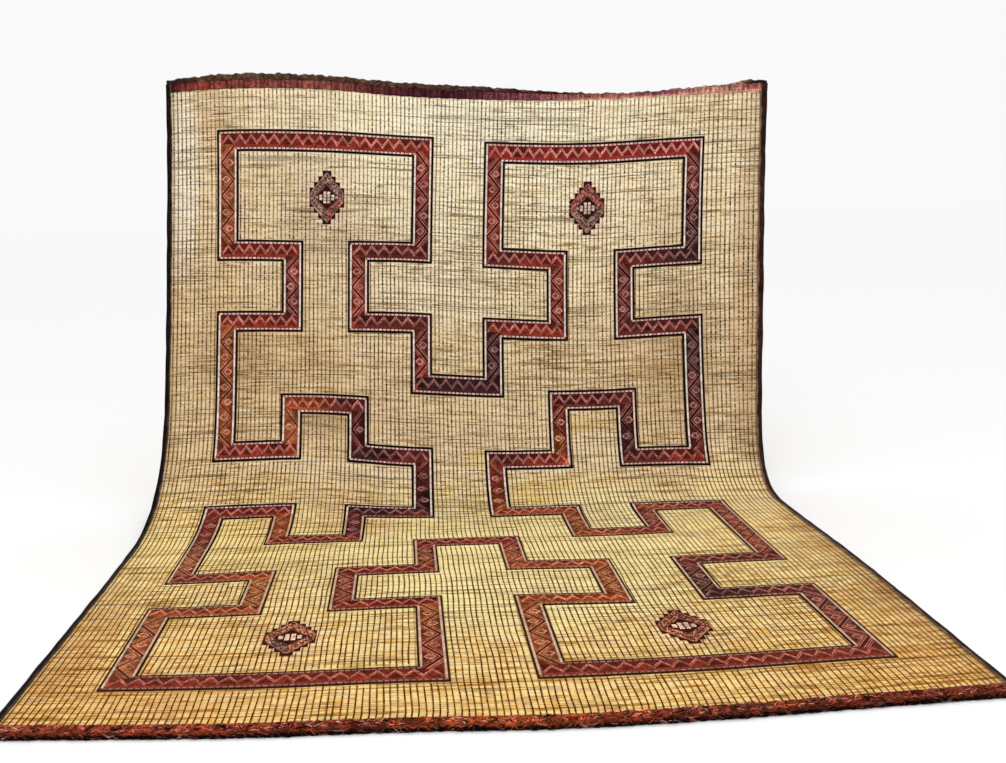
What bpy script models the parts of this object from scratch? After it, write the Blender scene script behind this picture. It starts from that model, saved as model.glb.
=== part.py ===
"""A reed and leather rug, held up by its top edge so that half of it hangs and half lies on the floor.

Metres, +Z up. The origin is the middle of the rug's top edge, and the rug faces -Y.
Across is measured from the pattern's centre line, to the right as the viewer sees it.
Along is measured down the rug from its top edge.
"""

import math

import bmesh
import bpy
import numpy as np

# Thicknesses, and the clearance between two pieces
REED_THICKNESS = 0.005
LEATHER_THICKNESS = 0.0015
GAP = 0.0003

# The reed mat, measured flat: its nominal side edges across, and its ends along
EDGE_LEFT = -1.300
EDGE_RIGHT = 1.340
MAT_TOP = 0.010
MAT_END = 3.680

# The leather that finishes the edges
BINDING_LEFT_WIDTH = 0.017
BINDING_RIGHT_WIDTH = 0.020
TOP_BAND_END = 0.047
FRONT_BAND_START = 3.632
# Where the folded binding's bends lie round the mat's edge, in degrees from its face
FOLD_ANGLES = (90, 30, -30, -90)

# The leather meander: its width, and the line along the rug that it is centred on
BAND_WIDTH = 0.096
PATTERN_MIDDLE = 1.841

# Distances of the meander's outer corners from the centre line: level, to the left, to the right
ACROSS_LEVELS = {
    "channel": (0.123, 0.102),
    "cross": (0.405, 0.392),
    "arm": (0.700, 0.695),
    "outer": (1.085, 1.100),
}
ACROSS_LEVELS["tip"] = tuple(level + BAND_WIDTH for level in ACROSS_LEVELS["channel"])
ACROSS_LEVELS["arm inner"] = tuple(level + BAND_WIDTH for level in ACROSS_LEVELS["cross"])
ACROSS_LEVELS["notch"] = tuple(level + BAND_WIDTH for level in ACROSS_LEVELS["arm"])

# Distances of the same corners from the pattern's middle: level, then up and down it on the left,
# and up and down it on the right
ALONG_LEVELS = {
    "far": (1.621, 1.611, 1.610, 1.607),
    "box": (1.043, 1.028, 1.040, 1.039),
    "notch": (0.820, 0.825, 0.818, 0.823),
    "stem": (0.555, 0.544, 0.555, 0.544),
    "arm": (0.345, 0.364, 0.398, 0.390),
    "waist": (0.131, 0.104, 0.125, 0.108),
}

# One quarter of the meander's outer outline: level across, level along, and for each of the two
# the way to the inner outline, 1 for outwards and -1 for towards the middle
QUARTER_OUTLINE = (
    ("channel", "stem", 1, -1),
    ("channel", "notch", 1, -1),
    ("cross", "notch", 1, -1),
    ("cross", "box", 1, 1),
    ("channel", "box", 1, 1),
    ("channel", "far", 1, -1),
    ("outer", "far", -1, -1),
    ("outer", "box", -1, 1),
    ("notch", "box", -1, 1),
    ("notch", "notch", -1, -1),
    ("outer", "notch", -1, -1),
    ("outer", "waist", -1, 1),
    ("arm", "waist", 1, 1),
    ("arm", "arm", 1, 1),
    ("arm inner", "arm", -1, 1),
    ("arm inner", "waist", -1, 1),
    ("tip", "waist", -1, 1),
)

# The stepped lozenges: name, centre across and along
MEDALLIONS = (
    ("medallion_top_left", -0.597, 0.512),
    ("medallion_top_right", 0.573, 0.519),
    ("medallion_front_left", -0.592, 3.140),
    ("medallion_front_right", 0.583, 3.160),
)
THONG_PITCH = 0.0195
# Half the lozenge's width in thongs, and how far from its centre that width reaches
MEDALLION_STEPS = ((4, 0.0435), (3, 0.0685), (2, 0.0935), (1, 0.1185))

# The way the rug falls: its slope at the top, how fast the slope grows, and where it turns to the floor.
# Each changes from left to right by the tilt, for each metre across.
LEAN, LEAN_TILT = 0.027, 0.030
CURL, CURL_TILT = 0.195, -0.027
BEND_START, BEND_START_TILT = 1.427, 0.073
BEND_END, BEND_END_TILT = 2.202, -0.145

# How the rug wanders: along, sideways drift, and how far out the left and right edges lie
STATIONS = (0.0, 0.9, 1.8, 2.7, 3.6)
DRIFT = (0.000, -0.048, -0.066, -0.018, 0.042)
LEFT_REACH = (1.300, 1.304, 1.299, 1.289, 1.297)
RIGHT_REACH = (1.372, 1.375, 1.335, 1.334, 1.300)

# How far down the rug the reeds bow, at places across, in a row for each station
BOW_PLACES = (-1.35, -1.00, -0.65, -0.25, 0.15, 0.55, 0.95, 1.35)
BOW = (
    (0.010, -0.017, -0.018, 0.011, 0.021, 0.015, -0.012, -0.037),
    (-0.001, -0.009, -0.006, -0.006, 0.017, 0.029, 0.003, -0.026),
    (0.008, -0.012, -0.023, 0.010, 0.020, 0.008, -0.006, -0.005),
    (0.000, 0.007, -0.002, -0.011, -0.005, 0.013, 0.003, -0.004),
    (-0.030, -0.007, 0.013, 0.017, 0.032, 0.019, -0.010, -0.035),
)

# How far the top edge lies down the rug where its band narrows: place across, and distance
TOP_DIP = ((0.10, 0.000), (0.55, 0.015), (0.85, 0.021), (1.15, 0.009), (1.34, 0.003))

# The rolls of thong ends along both ends: place across, and radius
TOP_ROLL = (
    (-1.30, 0.009),
    (-1.15, 0.013),
    (-0.60, 0.013),
    (0.10, 0.011),
    (0.45, 0.006),
    (0.60, 0.004),
    (1.00, 0.004),
    (1.20, 0.005),
    (1.27, 0.010),
    (1.34, 0.007),
)
FRONT_ROLL = ((-1.30, 0.007), (0.00, 0.0075), (1.34, 0.007))
# Unevenness of the rolls: share of the radius, turns of the wave for each metre in radians, and phase
ROLL_LUMPS = ((0.12, 47.0, 1.0), (0.08, 83.0, 2.0))

# Finishes: name, colour and roughness
FINISHES = (
    ("reeds", (0.72, 0.58, 0.33), 0.55),
    ("red_leather", (0.33, 0.06, 0.035), 0.50),
    ("dark_leather", (0.035, 0.022, 0.022), 0.50),
    ("tan_leather", (0.35, 0.17, 0.13), 0.50),
)

# Spacing of the mesh lines
LONGEST_ACROSS = 0.21
LONGEST_ON_ROLL = 0.06
LONGEST_STRAIGHT = 0.15
LONGEST_IN_BEND = 0.062
BEND_ZONE = (1.30, 2.42)
FALL_STEP = 0.005
FALL_MARGIN = 0.2


def smooth(x, places, values):
    """A smooth curve through a table, level with its last value beyond either end."""
    places = np.asarray(places, float)
    values = np.asarray(values, float)
    slopes = np.gradient(values, places)
    k = int(np.clip(np.searchsorted(places, x, side="right") - 1, 0, len(places) - 2))
    span = places[k + 1] - places[k]
    t = min(max((x - places[k]) / span, 0.0), 1.0)
    start = (2 * t**3 - 3 * t**2 + 1) * values[k] + (t**3 - 2 * t**2 + t) * span * slopes[k]
    end = (3 * t**2 - 2 * t**3) * values[k + 1] + (t**3 - t**2) * span * slopes[k + 1]
    return float(start + end)


def reed_bow(across, along):
    return smooth(along, STATIONS, [smooth(across, BOW_PLACES, row) for row in BOW])


def spread(across, along):
    """The real place across: the margins widen or narrow with the rug's uneven edges."""
    left, right = -ACROSS_LEVELS["outer"][0], ACROSS_LEVELS["outer"][1]
    if across < left:
        reach = -smooth(along, STATIONS, LEFT_REACH)
        return left + (across - left) * (reach - left) / (EDGE_LEFT - left)
    if across > right:
        reach = smooth(along, STATIONS, RIGHT_REACH)
        return right + (across - right) * (reach - right) / (EDGE_RIGHT - right)
    return across


def top_dip(across, along):
    """How far down the rug a place near the top edge is moved, all of it at the edge itself."""
    share = (TOP_BAND_END - along) / (TOP_BAND_END - MAT_TOP)
    return min(max(share, 0.0), 1.0) * smooth(across, *zip(*TOP_DIP))


def margin_lift(across):
    """The margins lie higher by one thickness of leather, which is folded under them."""
    full = LEATHER_THICKNESS + GAP
    places = (
        EDGE_LEFT + BINDING_LEFT_WIDTH,
        -ACROSS_LEVELS["outer"][0],
        ACROSS_LEVELS["outer"][1],
        EDGE_RIGHT - BINDING_RIGHT_WIDTH,
    )
    return float(np.interp(across, places, (full, 0.0, 0.0, full)))


def fall_profile(across):
    """Places along the rug, with the slope, the travel forward and the drop there."""
    along = np.arange(-FALL_MARGIN, MAT_END + FALL_MARGIN, FALL_STEP)
    start = BEND_START + BEND_START_TILT * across
    end = BEND_END + BEND_END_TILT * across
    hang = LEAN + LEAN_TILT * across + (CURL + CURL_TILT * across) * np.minimum(along, end)
    turned = np.clip((along - start) / (end - start), 0, 1)
    slope = hang + (math.pi / 2 - hang) * turned**2 * (3 - 2 * turned)
    forward = np.concatenate([[0], np.cumsum((np.sin(slope[1:]) + np.sin(slope[:-1])) / 2)])
    drop = np.concatenate([[0], np.cumsum((np.cos(slope[1:]) + np.cos(slope[:-1])) / 2)])
    forward = (forward - np.interp(0, along, forward)) * FALL_STEP
    return along, slope, forward, drop * FALL_STEP


def draped(across, along):
    """The middle of the reeds' thickness above the floor, and the direction that its face looks in."""
    actual = spread(across, along)
    places, slopes, forward, drop = fall_profile(actual)
    reached = along + reed_bow(actual, along) + top_dip(actual, along)
    slope = np.interp(reached, places, slopes)
    facing = np.array([0.0, -math.cos(slope), math.sin(slope)])
    middle = np.array(
        [
            actual + smooth(along, STATIONS, DRIFT),
            -np.interp(reached, places, forward),
            drop[-1] - np.interp(reached, places, drop) + REED_THICKNESS / 2,
        ]
    )
    return middle + margin_lift(across) * facing, facing


def level_across(name, side):
    return side * ACROSS_LEVELS[name][0 if side < 0 else 1]


def level_along(name, side, half):
    """half is 1 above the pattern's middle and -1 below it."""
    column = (0 if side < 0 else 2) + (0 if half > 0 else 1)
    return PATTERN_MIDDLE - half * ALONG_LEVELS[name][column]


def meander_outline(inset):
    """The corners of the meander's outline in order, outer with no inset and inner with its width."""
    corners = []
    for side, half in ((-1, 1), (-1, -1), (1, -1), (1, 1)):
        quarter = []
        for across, along, inward, upward in QUARTER_OUTLINE:
            a = level_across(across, side) + side * inward * inset
            b = level_along(along, side, half) - half * upward * inset
            quarter.append((a, b))
        corners += quarter if side * half < 0 else quarter[::-1]
    return corners


def inside(corners, x, y):
    """Whether a point lies inside a closed outline."""
    found = False
    for (x0, y0), (x1, y1) in zip(corners, corners[1:] + corners[:1]):
        if (y0 > y) != (y1 > y) and x < x0 + (y - y0) * (x1 - x0) / (y1 - y0):
            found = not found
    return found


def filled(lines, longest):
    """The lines in order, with evenly spaced ones added where two lie farther apart than longest allows."""
    lines = sorted({round(line, 6) for line in lines})
    result = [lines[0]]
    for low, high in zip(lines, lines[1:]):
        steps = math.ceil((high - low) / longest((low + high) / 2) - 1e-6)
        result += [low + (high - low) * step / steps for step in range(1, steps + 1)]
    return result


def longest_along(place):
    return LONGEST_IN_BEND if BEND_ZONE[0] < place < BEND_ZONE[1] else LONGEST_STRAIGHT


OUTER_OUTLINE = meander_outline(0)
INNER_OUTLINE = meander_outline(BAND_WIDTH)
CORNERS = OUTER_OUTLINE + INNER_OUTLINE
COLUMNS = filled(
    [a for a, _ in CORNERS]
    + [EDGE_LEFT, EDGE_LEFT + BINDING_LEFT_WIDTH, EDGE_RIGHT - BINDING_RIGHT_WIDTH, EDGE_RIGHT],
    lambda place: LONGEST_ACROSS,
)
ROWS = filled(
    [b for _, b in CORNERS] + [MAT_TOP, TOP_BAND_END, FRONT_BAND_START, MAT_END], longest_along
)
ORIGIN = draped(0.0, 0.0)[0]
LATTICE = [[draped(across, along) for across in COLUMNS] for along in ROWS]
FLOOR = -ORIGIN[2]


def place(across, along, height):
    """A point over the reed mat's flat facets, at a height from the middle of its thickness."""
    i = int(np.clip(np.searchsorted(COLUMNS, across, side="right") - 1, 0, len(COLUMNS) - 2))
    j = int(np.clip(np.searchsorted(ROWS, along, side="right") - 1, 0, len(ROWS) - 2))
    fa = (across - COLUMNS[i]) / (COLUMNS[i + 1] - COLUMNS[i])
    fb = (along - ROWS[j]) / (ROWS[j + 1] - ROWS[j])
    near, beside = LATTICE[j][i], LATTICE[j][i + 1]
    below, opposite = LATTICE[j + 1][i], LATTICE[j + 1][i + 1]
    point = []
    for k in (0, 1):
        if fa >= fb:
            point.append(near[k] + fa * (beside[k] - near[k]) + fb * (opposite[k] - beside[k]))
        else:
            point.append(near[k] + fb * (below[k] - near[k]) + fa * (opposite[k] - below[k]))
    return point[0] + height * point[1] - ORIGIN


def finish(name, color, roughness):
    """A plain material."""
    material = bpy.data.materials.new(name)
    material.use_nodes = True
    shader = material.node_tree.nodes["Principled BSDF"]
    shader.inputs["Base Color"].default_value = (*color, 1)
    shader.inputs["Roughness"].default_value = roughness
    shader.inputs["Metallic"].default_value = 0
    return material


def grid_mesh(xs, ys, keep):
    """A flat mesh of triangles over the lines, in the cells that keep accepts."""
    columns, rows = len(xs) - 1, len(ys) - 1
    mesh = bmesh.new()
    bmesh.ops.create_grid(mesh, x_segments=columns, y_segments=rows, size=0.5)
    for vertex in mesh.verts:
        i = round((vertex.co.x + 0.5) * columns)
        j = round((vertex.co.y + 0.5) * rows)
        vertex.co = (xs[i], ys[j], 0)
    dropped = [face for face in mesh.faces if not keep(*face.calc_center_median()[:2])]
    bmesh.ops.delete(mesh, geom=dropped, context="FACES")
    bmesh.ops.triangulate(mesh, faces=mesh.faces[:], quad_method="FIXED")
    return mesh


def sheet_object(collection, name, mesh, move, thickness, material):
    """A sheet with its flat mesh moved into place and given its thickness."""
    for vertex in mesh.verts:
        vertex.co = move(vertex.co.x, vertex.co.y)
    data = bpy.data.meshes.new(name)
    mesh.to_mesh(data)
    mesh.free()
    data.materials.append(material)
    piece = bpy.data.objects.new(name, data)
    collection.objects.link(piece)
    solid = piece.modifiers.new("thickness", "SOLIDIFY")
    solid.thickness = thickness
    solid.offset = 0
    solid.use_even_offset = True
    solid.use_quality_normals = True
    return piece


def everywhere(across, along):
    return True


def make_reed_mat(collection, material):
    mesh = grid_mesh(COLUMNS, ROWS, everywhere)
    sheet_object(
        collection, "reed_mat", mesh, lambda a, b: place(a, b, 0), REED_THICKNESS, material
    )


def make_face_leather(collection, name, xs, ys, keep, material):
    """A strip of leather laid on the reeds' face."""
    height = (REED_THICKNESS + LEATHER_THICKNESS) / 2 + GAP
    mesh = grid_mesh(xs, ys, keep)
    sheet_object(
        collection, name, mesh, lambda a, b: place(a, b, height), LEATHER_THICKNESS, material
    )


def make_meander(collection, material):
    def in_band(across, along):
        return inside(OUTER_OUTLINE, across, along) and not inside(INNER_OUTLINE, across, along)

    make_face_leather(collection, "meander_band", COLUMNS, ROWS, in_band, material)


def make_end_bands(collection, material):
    """The red strips across both ends, between the side bindings."""
    first = EDGE_LEFT + BINDING_LEFT_WIDTH + GAP
    last = EDGE_RIGHT - BINDING_RIGHT_WIDTH - GAP
    xs = [first] + [x for x in COLUMNS if first < x < last] + [last]
    ends = (("end_band_top", MAT_TOP, TOP_BAND_END), ("end_band_front", FRONT_BAND_START, MAT_END))
    for name, start, end in ends:
        make_face_leather(collection, name, xs, [start, end], everywhere, material)


def make_medallion(collection, name, across, along, material):
    """A lozenge whose outline steps in by one thong at a time."""
    reaches = sorted({side * reach for _, reach in MEDALLION_STEPS for side in (-1, 1)})
    widest = MEDALLION_STEPS[0][0]
    xs = [across + step * THONG_PITCH for step in range(-widest, widest + 1)]
    ys = [along + reach for reach in reaches]

    def in_lozenge(x, y):
        allowed = max(count for count, reach in MEDALLION_STEPS if abs(y - along) < reach)
        return abs(x - across) < allowed * THONG_PITCH

    make_face_leather(collection, name, xs, ys, in_lozenge, material)


def make_binding(collection, name, edge, side, width, material):
    """Leather folded over one side edge of the mat, from its face round to its back."""
    flap = (REED_THICKNESS + LEATHER_THICKNESS) / 2 + GAP
    turns = [math.radians(angle) for angle in FOLD_ANGLES]
    fold = [(flap * math.cos(turn), flap * math.sin(turn)) for turn in turns]
    section = [(-width, flap)] + fold + [(-width, -flap)]

    def move(station, along):
        out, height = section[round(station)]
        return place(edge + side * out, along, height)

    mesh = grid_mesh(list(range(len(section))), ROWS, everywhere)
    sheet_object(collection, name, mesh, move, LEATHER_THICKNESS, material)


def make_roll(collection, name, table, end, within, on_floor, material):
    """Thong ends rolled together beyond one end of the mat; within is a place on the rug near that end."""
    curve = bpy.data.curves.new(name, "CURVE")
    curve.dimensions = "3D"
    curve.bevel_depth = 1.0
    curve.bevel_resolution = 2
    curve.use_fill_caps = True
    lines = filled(COLUMNS, lambda place: LONGEST_ON_ROLL)
    spline = curve.splines.new("POLY")
    spline.points.add(len(lines) - 1)
    places, radii = zip(*table)
    for across, point in zip(lines, spline.points):
        lumps = sum(share * math.sin(rate * across + phase) for share, rate, phase in ROLL_LUMPS)
        radius = smooth(across, places, radii) * (1 + lumps)
        edge = place(across, end, 0)
        outward = edge - place(across, within, 0)
        centre = edge + outward / np.linalg.norm(outward) * (GAP + radius)
        if on_floor:
            centre[2] = FLOOR + radius
        point.co = (*centre, 1)
        point.radius = radius
    curve.materials.append(material)
    collection.objects.link(bpy.data.objects.new(name, curve))


def make_rug():
    """Clears the scene and makes every piece of the rug."""
    for old in list(bpy.data.objects):
        bpy.data.objects.remove(old, do_unlink=True)
    rug = bpy.data.collections.new("reed_and_leather_rug")
    bpy.context.scene.collection.children.link(rug)

    reeds, red_leather, dark_leather, tan_leather = [finish(*row) for row in FINISHES]

    make_reed_mat(rug, reeds)
    make_meander(rug, red_leather)
    make_end_bands(rug, red_leather)
    for name, across, along in MEDALLIONS:
        make_medallion(rug, name, across, along, tan_leather)
    make_binding(rug, "binding_left", EDGE_LEFT, -1, BINDING_LEFT_WIDTH, dark_leather)
    make_binding(rug, "binding_right", EDGE_RIGHT, 1, BINDING_RIGHT_WIDTH, dark_leather)
    make_roll(rug, "edge_roll_top", TOP_ROLL, MAT_TOP, TOP_BAND_END, False, dark_leather)
    make_roll(rug, "edge_roll_front", FRONT_ROLL, MAT_END, FRONT_BAND_START, True, dark_leather)


make_rug()
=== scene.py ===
"""The looks of the reed and leather rug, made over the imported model.

Metres, +Z up, in the model's frame: the origin is the middle of the rug's top edge and the rug faces -Y.
Across is measured from the pattern's centre line to the right, and along down the rug from its top edge.
Heights are measured from the middle of the reeds' thickness, towards the side that the face looks to.
"""

import math

import bmesh
import bpy
import numpy as np
from mathutils import Matrix, Vector

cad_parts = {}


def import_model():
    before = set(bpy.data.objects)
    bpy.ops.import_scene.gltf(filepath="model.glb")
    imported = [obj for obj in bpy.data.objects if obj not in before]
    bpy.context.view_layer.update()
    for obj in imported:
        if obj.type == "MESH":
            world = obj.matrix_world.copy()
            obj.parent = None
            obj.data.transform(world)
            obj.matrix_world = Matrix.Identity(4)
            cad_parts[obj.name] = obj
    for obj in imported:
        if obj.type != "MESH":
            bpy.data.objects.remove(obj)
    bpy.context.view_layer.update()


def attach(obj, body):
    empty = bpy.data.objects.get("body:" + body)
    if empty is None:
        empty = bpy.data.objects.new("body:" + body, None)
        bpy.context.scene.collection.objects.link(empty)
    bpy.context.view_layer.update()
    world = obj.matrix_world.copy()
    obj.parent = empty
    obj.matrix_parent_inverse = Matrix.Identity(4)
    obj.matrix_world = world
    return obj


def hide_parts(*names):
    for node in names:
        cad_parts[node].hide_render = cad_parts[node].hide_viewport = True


# Thicknesses, and the clearance between two pieces
REED_THICKNESS = 0.005
LEATHER_THICKNESS = 0.0015
GAP = 0.0003

# The reed mat, measured flat: its nominal side edges across, and its ends along
EDGE_LEFT = -1.300
EDGE_RIGHT = 1.340
MAT_TOP = 0.010
MAT_END = 3.680

# The leather that finishes the edges
BINDING_LEFT_WIDTH = 0.017
BINDING_RIGHT_WIDTH = 0.020
TOP_BAND_END = 0.047
FRONT_BAND_START = 3.632

# The leather meander: its width, and the line along the rug that it is centred on
BAND_WIDTH = 0.096
PATTERN_MIDDLE = 1.841

# Distances of the meander's outer corners from the centre line: level, to the left, to the right
ACROSS_LEVELS = {
    "channel": (0.123, 0.102),
    "cross": (0.405, 0.392),
    "arm": (0.700, 0.695),
    "outer": (1.085, 1.100),
}
ACROSS_LEVELS["tip"] = tuple(level + BAND_WIDTH for level in ACROSS_LEVELS["channel"])
ACROSS_LEVELS["arm inner"] = tuple(level + BAND_WIDTH for level in ACROSS_LEVELS["cross"])
ACROSS_LEVELS["notch"] = tuple(level + BAND_WIDTH for level in ACROSS_LEVELS["arm"])

# Distances of the same corners from the pattern's middle: level, then up and down it on the left,
# and up and down it on the right
ALONG_LEVELS = {
    "far": (1.621, 1.611, 1.610, 1.607),
    "box": (1.043, 1.028, 1.040, 1.039),
    "notch": (0.820, 0.825, 0.818, 0.823),
    "stem": (0.555, 0.544, 0.555, 0.544),
    "arm": (0.345, 0.364, 0.398, 0.390),
    "waist": (0.131, 0.104, 0.125, 0.108),
}

# One quarter of the meander's outer outline: level across, level along, and for each of the two
# the way to the inner outline, 1 for outwards and -1 for towards the middle
QUARTER_OUTLINE = (
    ("channel", "stem", 1, -1),
    ("channel", "notch", 1, -1),
    ("cross", "notch", 1, -1),
    ("cross", "box", 1, 1),
    ("channel", "box", 1, 1),
    ("channel", "far", 1, -1),
    ("outer", "far", -1, -1),
    ("outer", "box", -1, 1),
    ("notch", "box", -1, 1),
    ("notch", "notch", -1, -1),
    ("outer", "notch", -1, -1),
    ("outer", "waist", -1, 1),
    ("arm", "waist", 1, 1),
    ("arm", "arm", 1, 1),
    ("arm inner", "arm", -1, 1),
    ("arm inner", "waist", -1, 1),
    ("tip", "waist", -1, 1),
)

# The dye of the leather at the start and end of each straight run of the meander, in its outline's order:
# orange, amber, red, maroon, plum or pink
RUN_DYES = (
    "RM MM RR MM MR RR AA RR RM RR AA RR OA AM MM PM MP MP MM RR AA RR RA "
    "RA OO AA AA RR RA RR RR RR AR RR RA AA AA AA AA RR RM MP PM MM RR RA "
    "RR RA AA AA AR MR OR MM MP MR MP MM MM MP PM KK RR MR RR RR PP PP"
).split()

# The stepped lozenges: node, centre across and along, and the dyes of its four arms
MEDALLIONS = (
    ("medallion_top_left", -0.597, 0.512, "BBBT"),
    ("medallion_top_right", 0.573, 0.519, "SSBB"),
    ("medallion_front_left", -0.592, 3.140, "FFBF"),
    ("medallion_front_right", 0.583, 3.160, "FTFF"),
)
# Half the lozenge's width in steps, and how far from its centre that width reaches
MEDALLION_STEP = 0.0195
MEDALLION_STEPS = ((4, 0.0435), (3, 0.0685), (2, 0.0935), (1, 0.1185))

# Distance from one thong to the next, at places across
THONG_PITCHES = ((-1.30, 0.0183), (-0.60, 0.0182), (0.00, 0.0179), (0.60, 0.0190), (1.34, 0.0186))

# The way the rug falls: its slope at the top, how fast the slope grows, and where it turns to the floor.
# Each changes from left to right by the tilt, for each metre across.
LEAN, LEAN_TILT = 0.027, 0.030
CURL, CURL_TILT = 0.195, -0.027
BEND_START, BEND_START_TILT = 1.427, 0.073
BEND_END, BEND_END_TILT = 2.202, -0.145

# How the rug wanders: along, sideways drift, and how far out the left and right edges lie
STATIONS = (0.0, 0.9, 1.8, 2.7, 3.6)
DRIFT = (0.000, -0.048, -0.066, -0.018, 0.042)
LEFT_REACH = (1.300, 1.304, 1.299, 1.289, 1.297)
RIGHT_REACH = (1.372, 1.375, 1.335, 1.334, 1.300)

# How far down the rug the reeds bow, at places across, in a row for each station
BOW_PLACES = (-1.35, -1.00, -0.65, -0.25, 0.15, 0.55, 0.95, 1.35)
BOW = (
    (0.010, -0.017, -0.018, 0.011, 0.021, 0.015, -0.012, -0.037),
    (-0.001, -0.009, -0.006, -0.006, 0.017, 0.029, 0.003, -0.026),
    (0.008, -0.012, -0.023, 0.010, 0.020, 0.008, -0.006, -0.005),
    (0.000, 0.007, -0.002, -0.011, -0.005, 0.013, 0.003, -0.004),
    (-0.030, -0.007, 0.013, 0.017, 0.032, 0.019, -0.010, -0.035),
)
FALL_STEP = 0.005
FALL_MARGIN = 0.2

# How far the top edge lies down the rug where its band narrows: place across, and distance
TOP_DIP = ((0.10, 0.000), (0.55, 0.015), (0.85, 0.021), (1.15, 0.009), (1.34, 0.003))

# The rolls of thong ends along both ends: place across, and radius
TOP_ROLL = (
    (-1.30, 0.009),
    (-1.15, 0.013),
    (-0.60, 0.013),
    (0.10, 0.011),
    (0.45, 0.006),
    (0.60, 0.004),
    (1.00, 0.004),
    (1.20, 0.005),
    (1.27, 0.010),
    (1.34, 0.007),
)
FRONT_ROLL = ((-1.30, 0.007), (0.00, 0.0075), (1.34, 0.007))

# The photographer's place and aim, worked out from the pattern's corners
CAMERA_YAW = 0.0323
CAMERA_PITCH = 0.1720
CAMERA_ROLL = -0.0335
CAMERA_ACROSS = -0.008
CAMERA_BACK = -4.511
CAMERA_ABOVE_FLOOR = 1.239
FOCAL_PIXELS = 974.3
PHOTO_WIDTH = 1006
SENSOR = 36.0

# The light: brightness of the surround, and the lamp's power in watts
SKY = 0.95
LAMP_POWER = 60.0

# Heights over the middle of the reeds: the reeds' crowns and valleys, and the tops of what lies on them
REED_CROWN = 0.0024
REED_VALLEY = 0.0012
STITCH_TOP = 0.0034
LEATHER_BOTTOM = 0.0026
LEATHER_TOP = 0.0043
EDGING_TOP = 0.0054
WHITE_TOP = 0.0050
ORNAMENT_TOP = 0.0051

# Where the meander's edgings and its middle lie, measured in from its outline
BLACK_EDGING = 0.0095
WHITE_START, WHITE_END = 0.0099, 0.0182
MIDDLE_START = 0.0190

# Where the white edging and the ornament's straps start, sunk a little into the leather
WHITE_BOTTOM = LEATHER_TOP - 0.0006
LINE_BOTTOM = LEATHER_TOP - 0.0003
# The length of a tooth of the runs across, and of a turn of the runs down
ZIGZAG_PITCH = 0.0505
LOZENGE_PITCH = 0.0715
# The salmon lines on each side of the dark zigzag: distance from it, width, least and most shade
LOZENGE_LINES = ((0.0066, 0.0046, 0.95, 1.4), (0.0126, 0.0036, 0.7, 1.2), (0.0184, 0.0034, 0.5, 1.0))

# A medallion's four arms as a ring of six corners, outside and inside, from its centre
ARMS_OUTER = (
    (0, -0.1125),
    (-0.0715, -0.022),
    (-0.0715, 0.022),
    (0, 0.1125),
    (0.0715, 0.022),
    (0.0715, -0.022),
)
ARMS_INNER = ((0, -0.050), (-0.049, -0.004), (-0.049, 0.004), (0, 0.050), (0.049, 0.004), (0.049, -0.004))
# The plaits of an arm: share of the way inwards, width, tone
ARM_PLAITS = ((0.09, 0.0084, 1.25), (0.34, 0.0080, 0.80), (0.60, 0.0080, 1.30), (0.86, 0.0076, 0.75))
# The columns of pale cells in its middle: number of the column, height
TOP_CELLS = ((0, 0.0525), (1, 0.0525), (-1, 0.026), (2, 0.026), (-2, 0.013), (3, 0.013))
FRONT_CELLS = ((0, 0.044), (1, 0.044), (-1, 0.023), (2, 0.023))

# The usual width of a reed, the number of strips that the mat is made in, and half a thong's width
REED_WIDTH = 0.0050
REED_STRIPS = 8
THONG_HALF = 0.0019
# The sides of the rolls' cores, and the frayed ends on each roll and on the front band
ROLL_SIDES = 9
ROLL_WISPS = 1500
FRINGE_WISPS = 2600
FRINGE_BRIGHTS = ((186, 84, 52), (170, 70, 66), (196, 104, 70))

# Places along where the looks change: the turn from hanging to lying, the floor part, and its front end
TURN = (1.5, 2.2)
FLOOR_PART = 2.0
FRONT_PART = 3.0

SEED = 11
random = np.random.default_rng(SEED)


def linear(red, green, blue):
    """A colour of the photo's kind, 0 to 255, as Blender's linear numbers."""
    shares = np.array([red, green, blue], float) / 255
    return np.where(shares <= 0.04045, shares / 12.92, ((shares + 0.055) / 1.055) ** 2.4)


def rise(x, start, end):
    """How far x has gone from start to end: 0 before and 1 after."""
    return np.clip((x - start) / (end - start), 0, 1)


def blend(a, b, share):
    """From a to b as share goes from 0 to 1."""
    return a * (1 - share) + b * share


# Dyes of the leather as the photo's colours: name, plain, dark, pale
DYE_TABLE = (
    ("O", (186, 98, 58), (140, 58, 34), (236, 172, 128)),
    ("A", (156, 80, 47), (118, 47, 26), (226, 152, 118)),
    ("R", (129, 50, 36), (95, 31, 23), (218, 140, 128)),
    ("M", (98, 41, 32), (68, 27, 22), (198, 130, 124)),
    ("P", (62, 32, 29), (44, 22, 22), (166, 118, 114)),
    ("K", (138, 50, 42), (102, 28, 24), (238, 168, 152)),
)
DYES, DARK_DYES, PALE_DYES = ({row[0]: linear(*row[k]) for row in DYE_TABLE} for k in (1, 2, 3))
# Dyes of the medallions' arms
DYES["F"] = linear(150, 96, 76)
DYES["S"] = linear(142, 84, 76)
DYES["B"] = linear(130, 98, 88)
DYES["T"] = linear(136, 82, 70)


# The drape


def weights(x, places):
    """The share of each table value in a smooth curve through the table, for each x."""
    places = np.asarray(places, float)
    x = np.asarray(x, float)
    unit = np.eye(len(places))
    slopes = np.gradient(unit, places, axis=0)
    k = np.clip(np.searchsorted(places, x, side="right") - 1, 0, len(places) - 2)
    span = (places[k + 1] - places[k])[..., None]
    t = np.clip((x[..., None] - places[k][..., None]) / span, 0.0, 1.0)
    start = (2 * t**3 - 3 * t**2 + 1) * unit[k] + (t**3 - 2 * t**2 + t) * span * slopes[k]
    end = (3 * t**2 - 2 * t**3) * unit[k + 1] + (t**3 - t**2) * span * slopes[k + 1]
    return start + end


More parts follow.
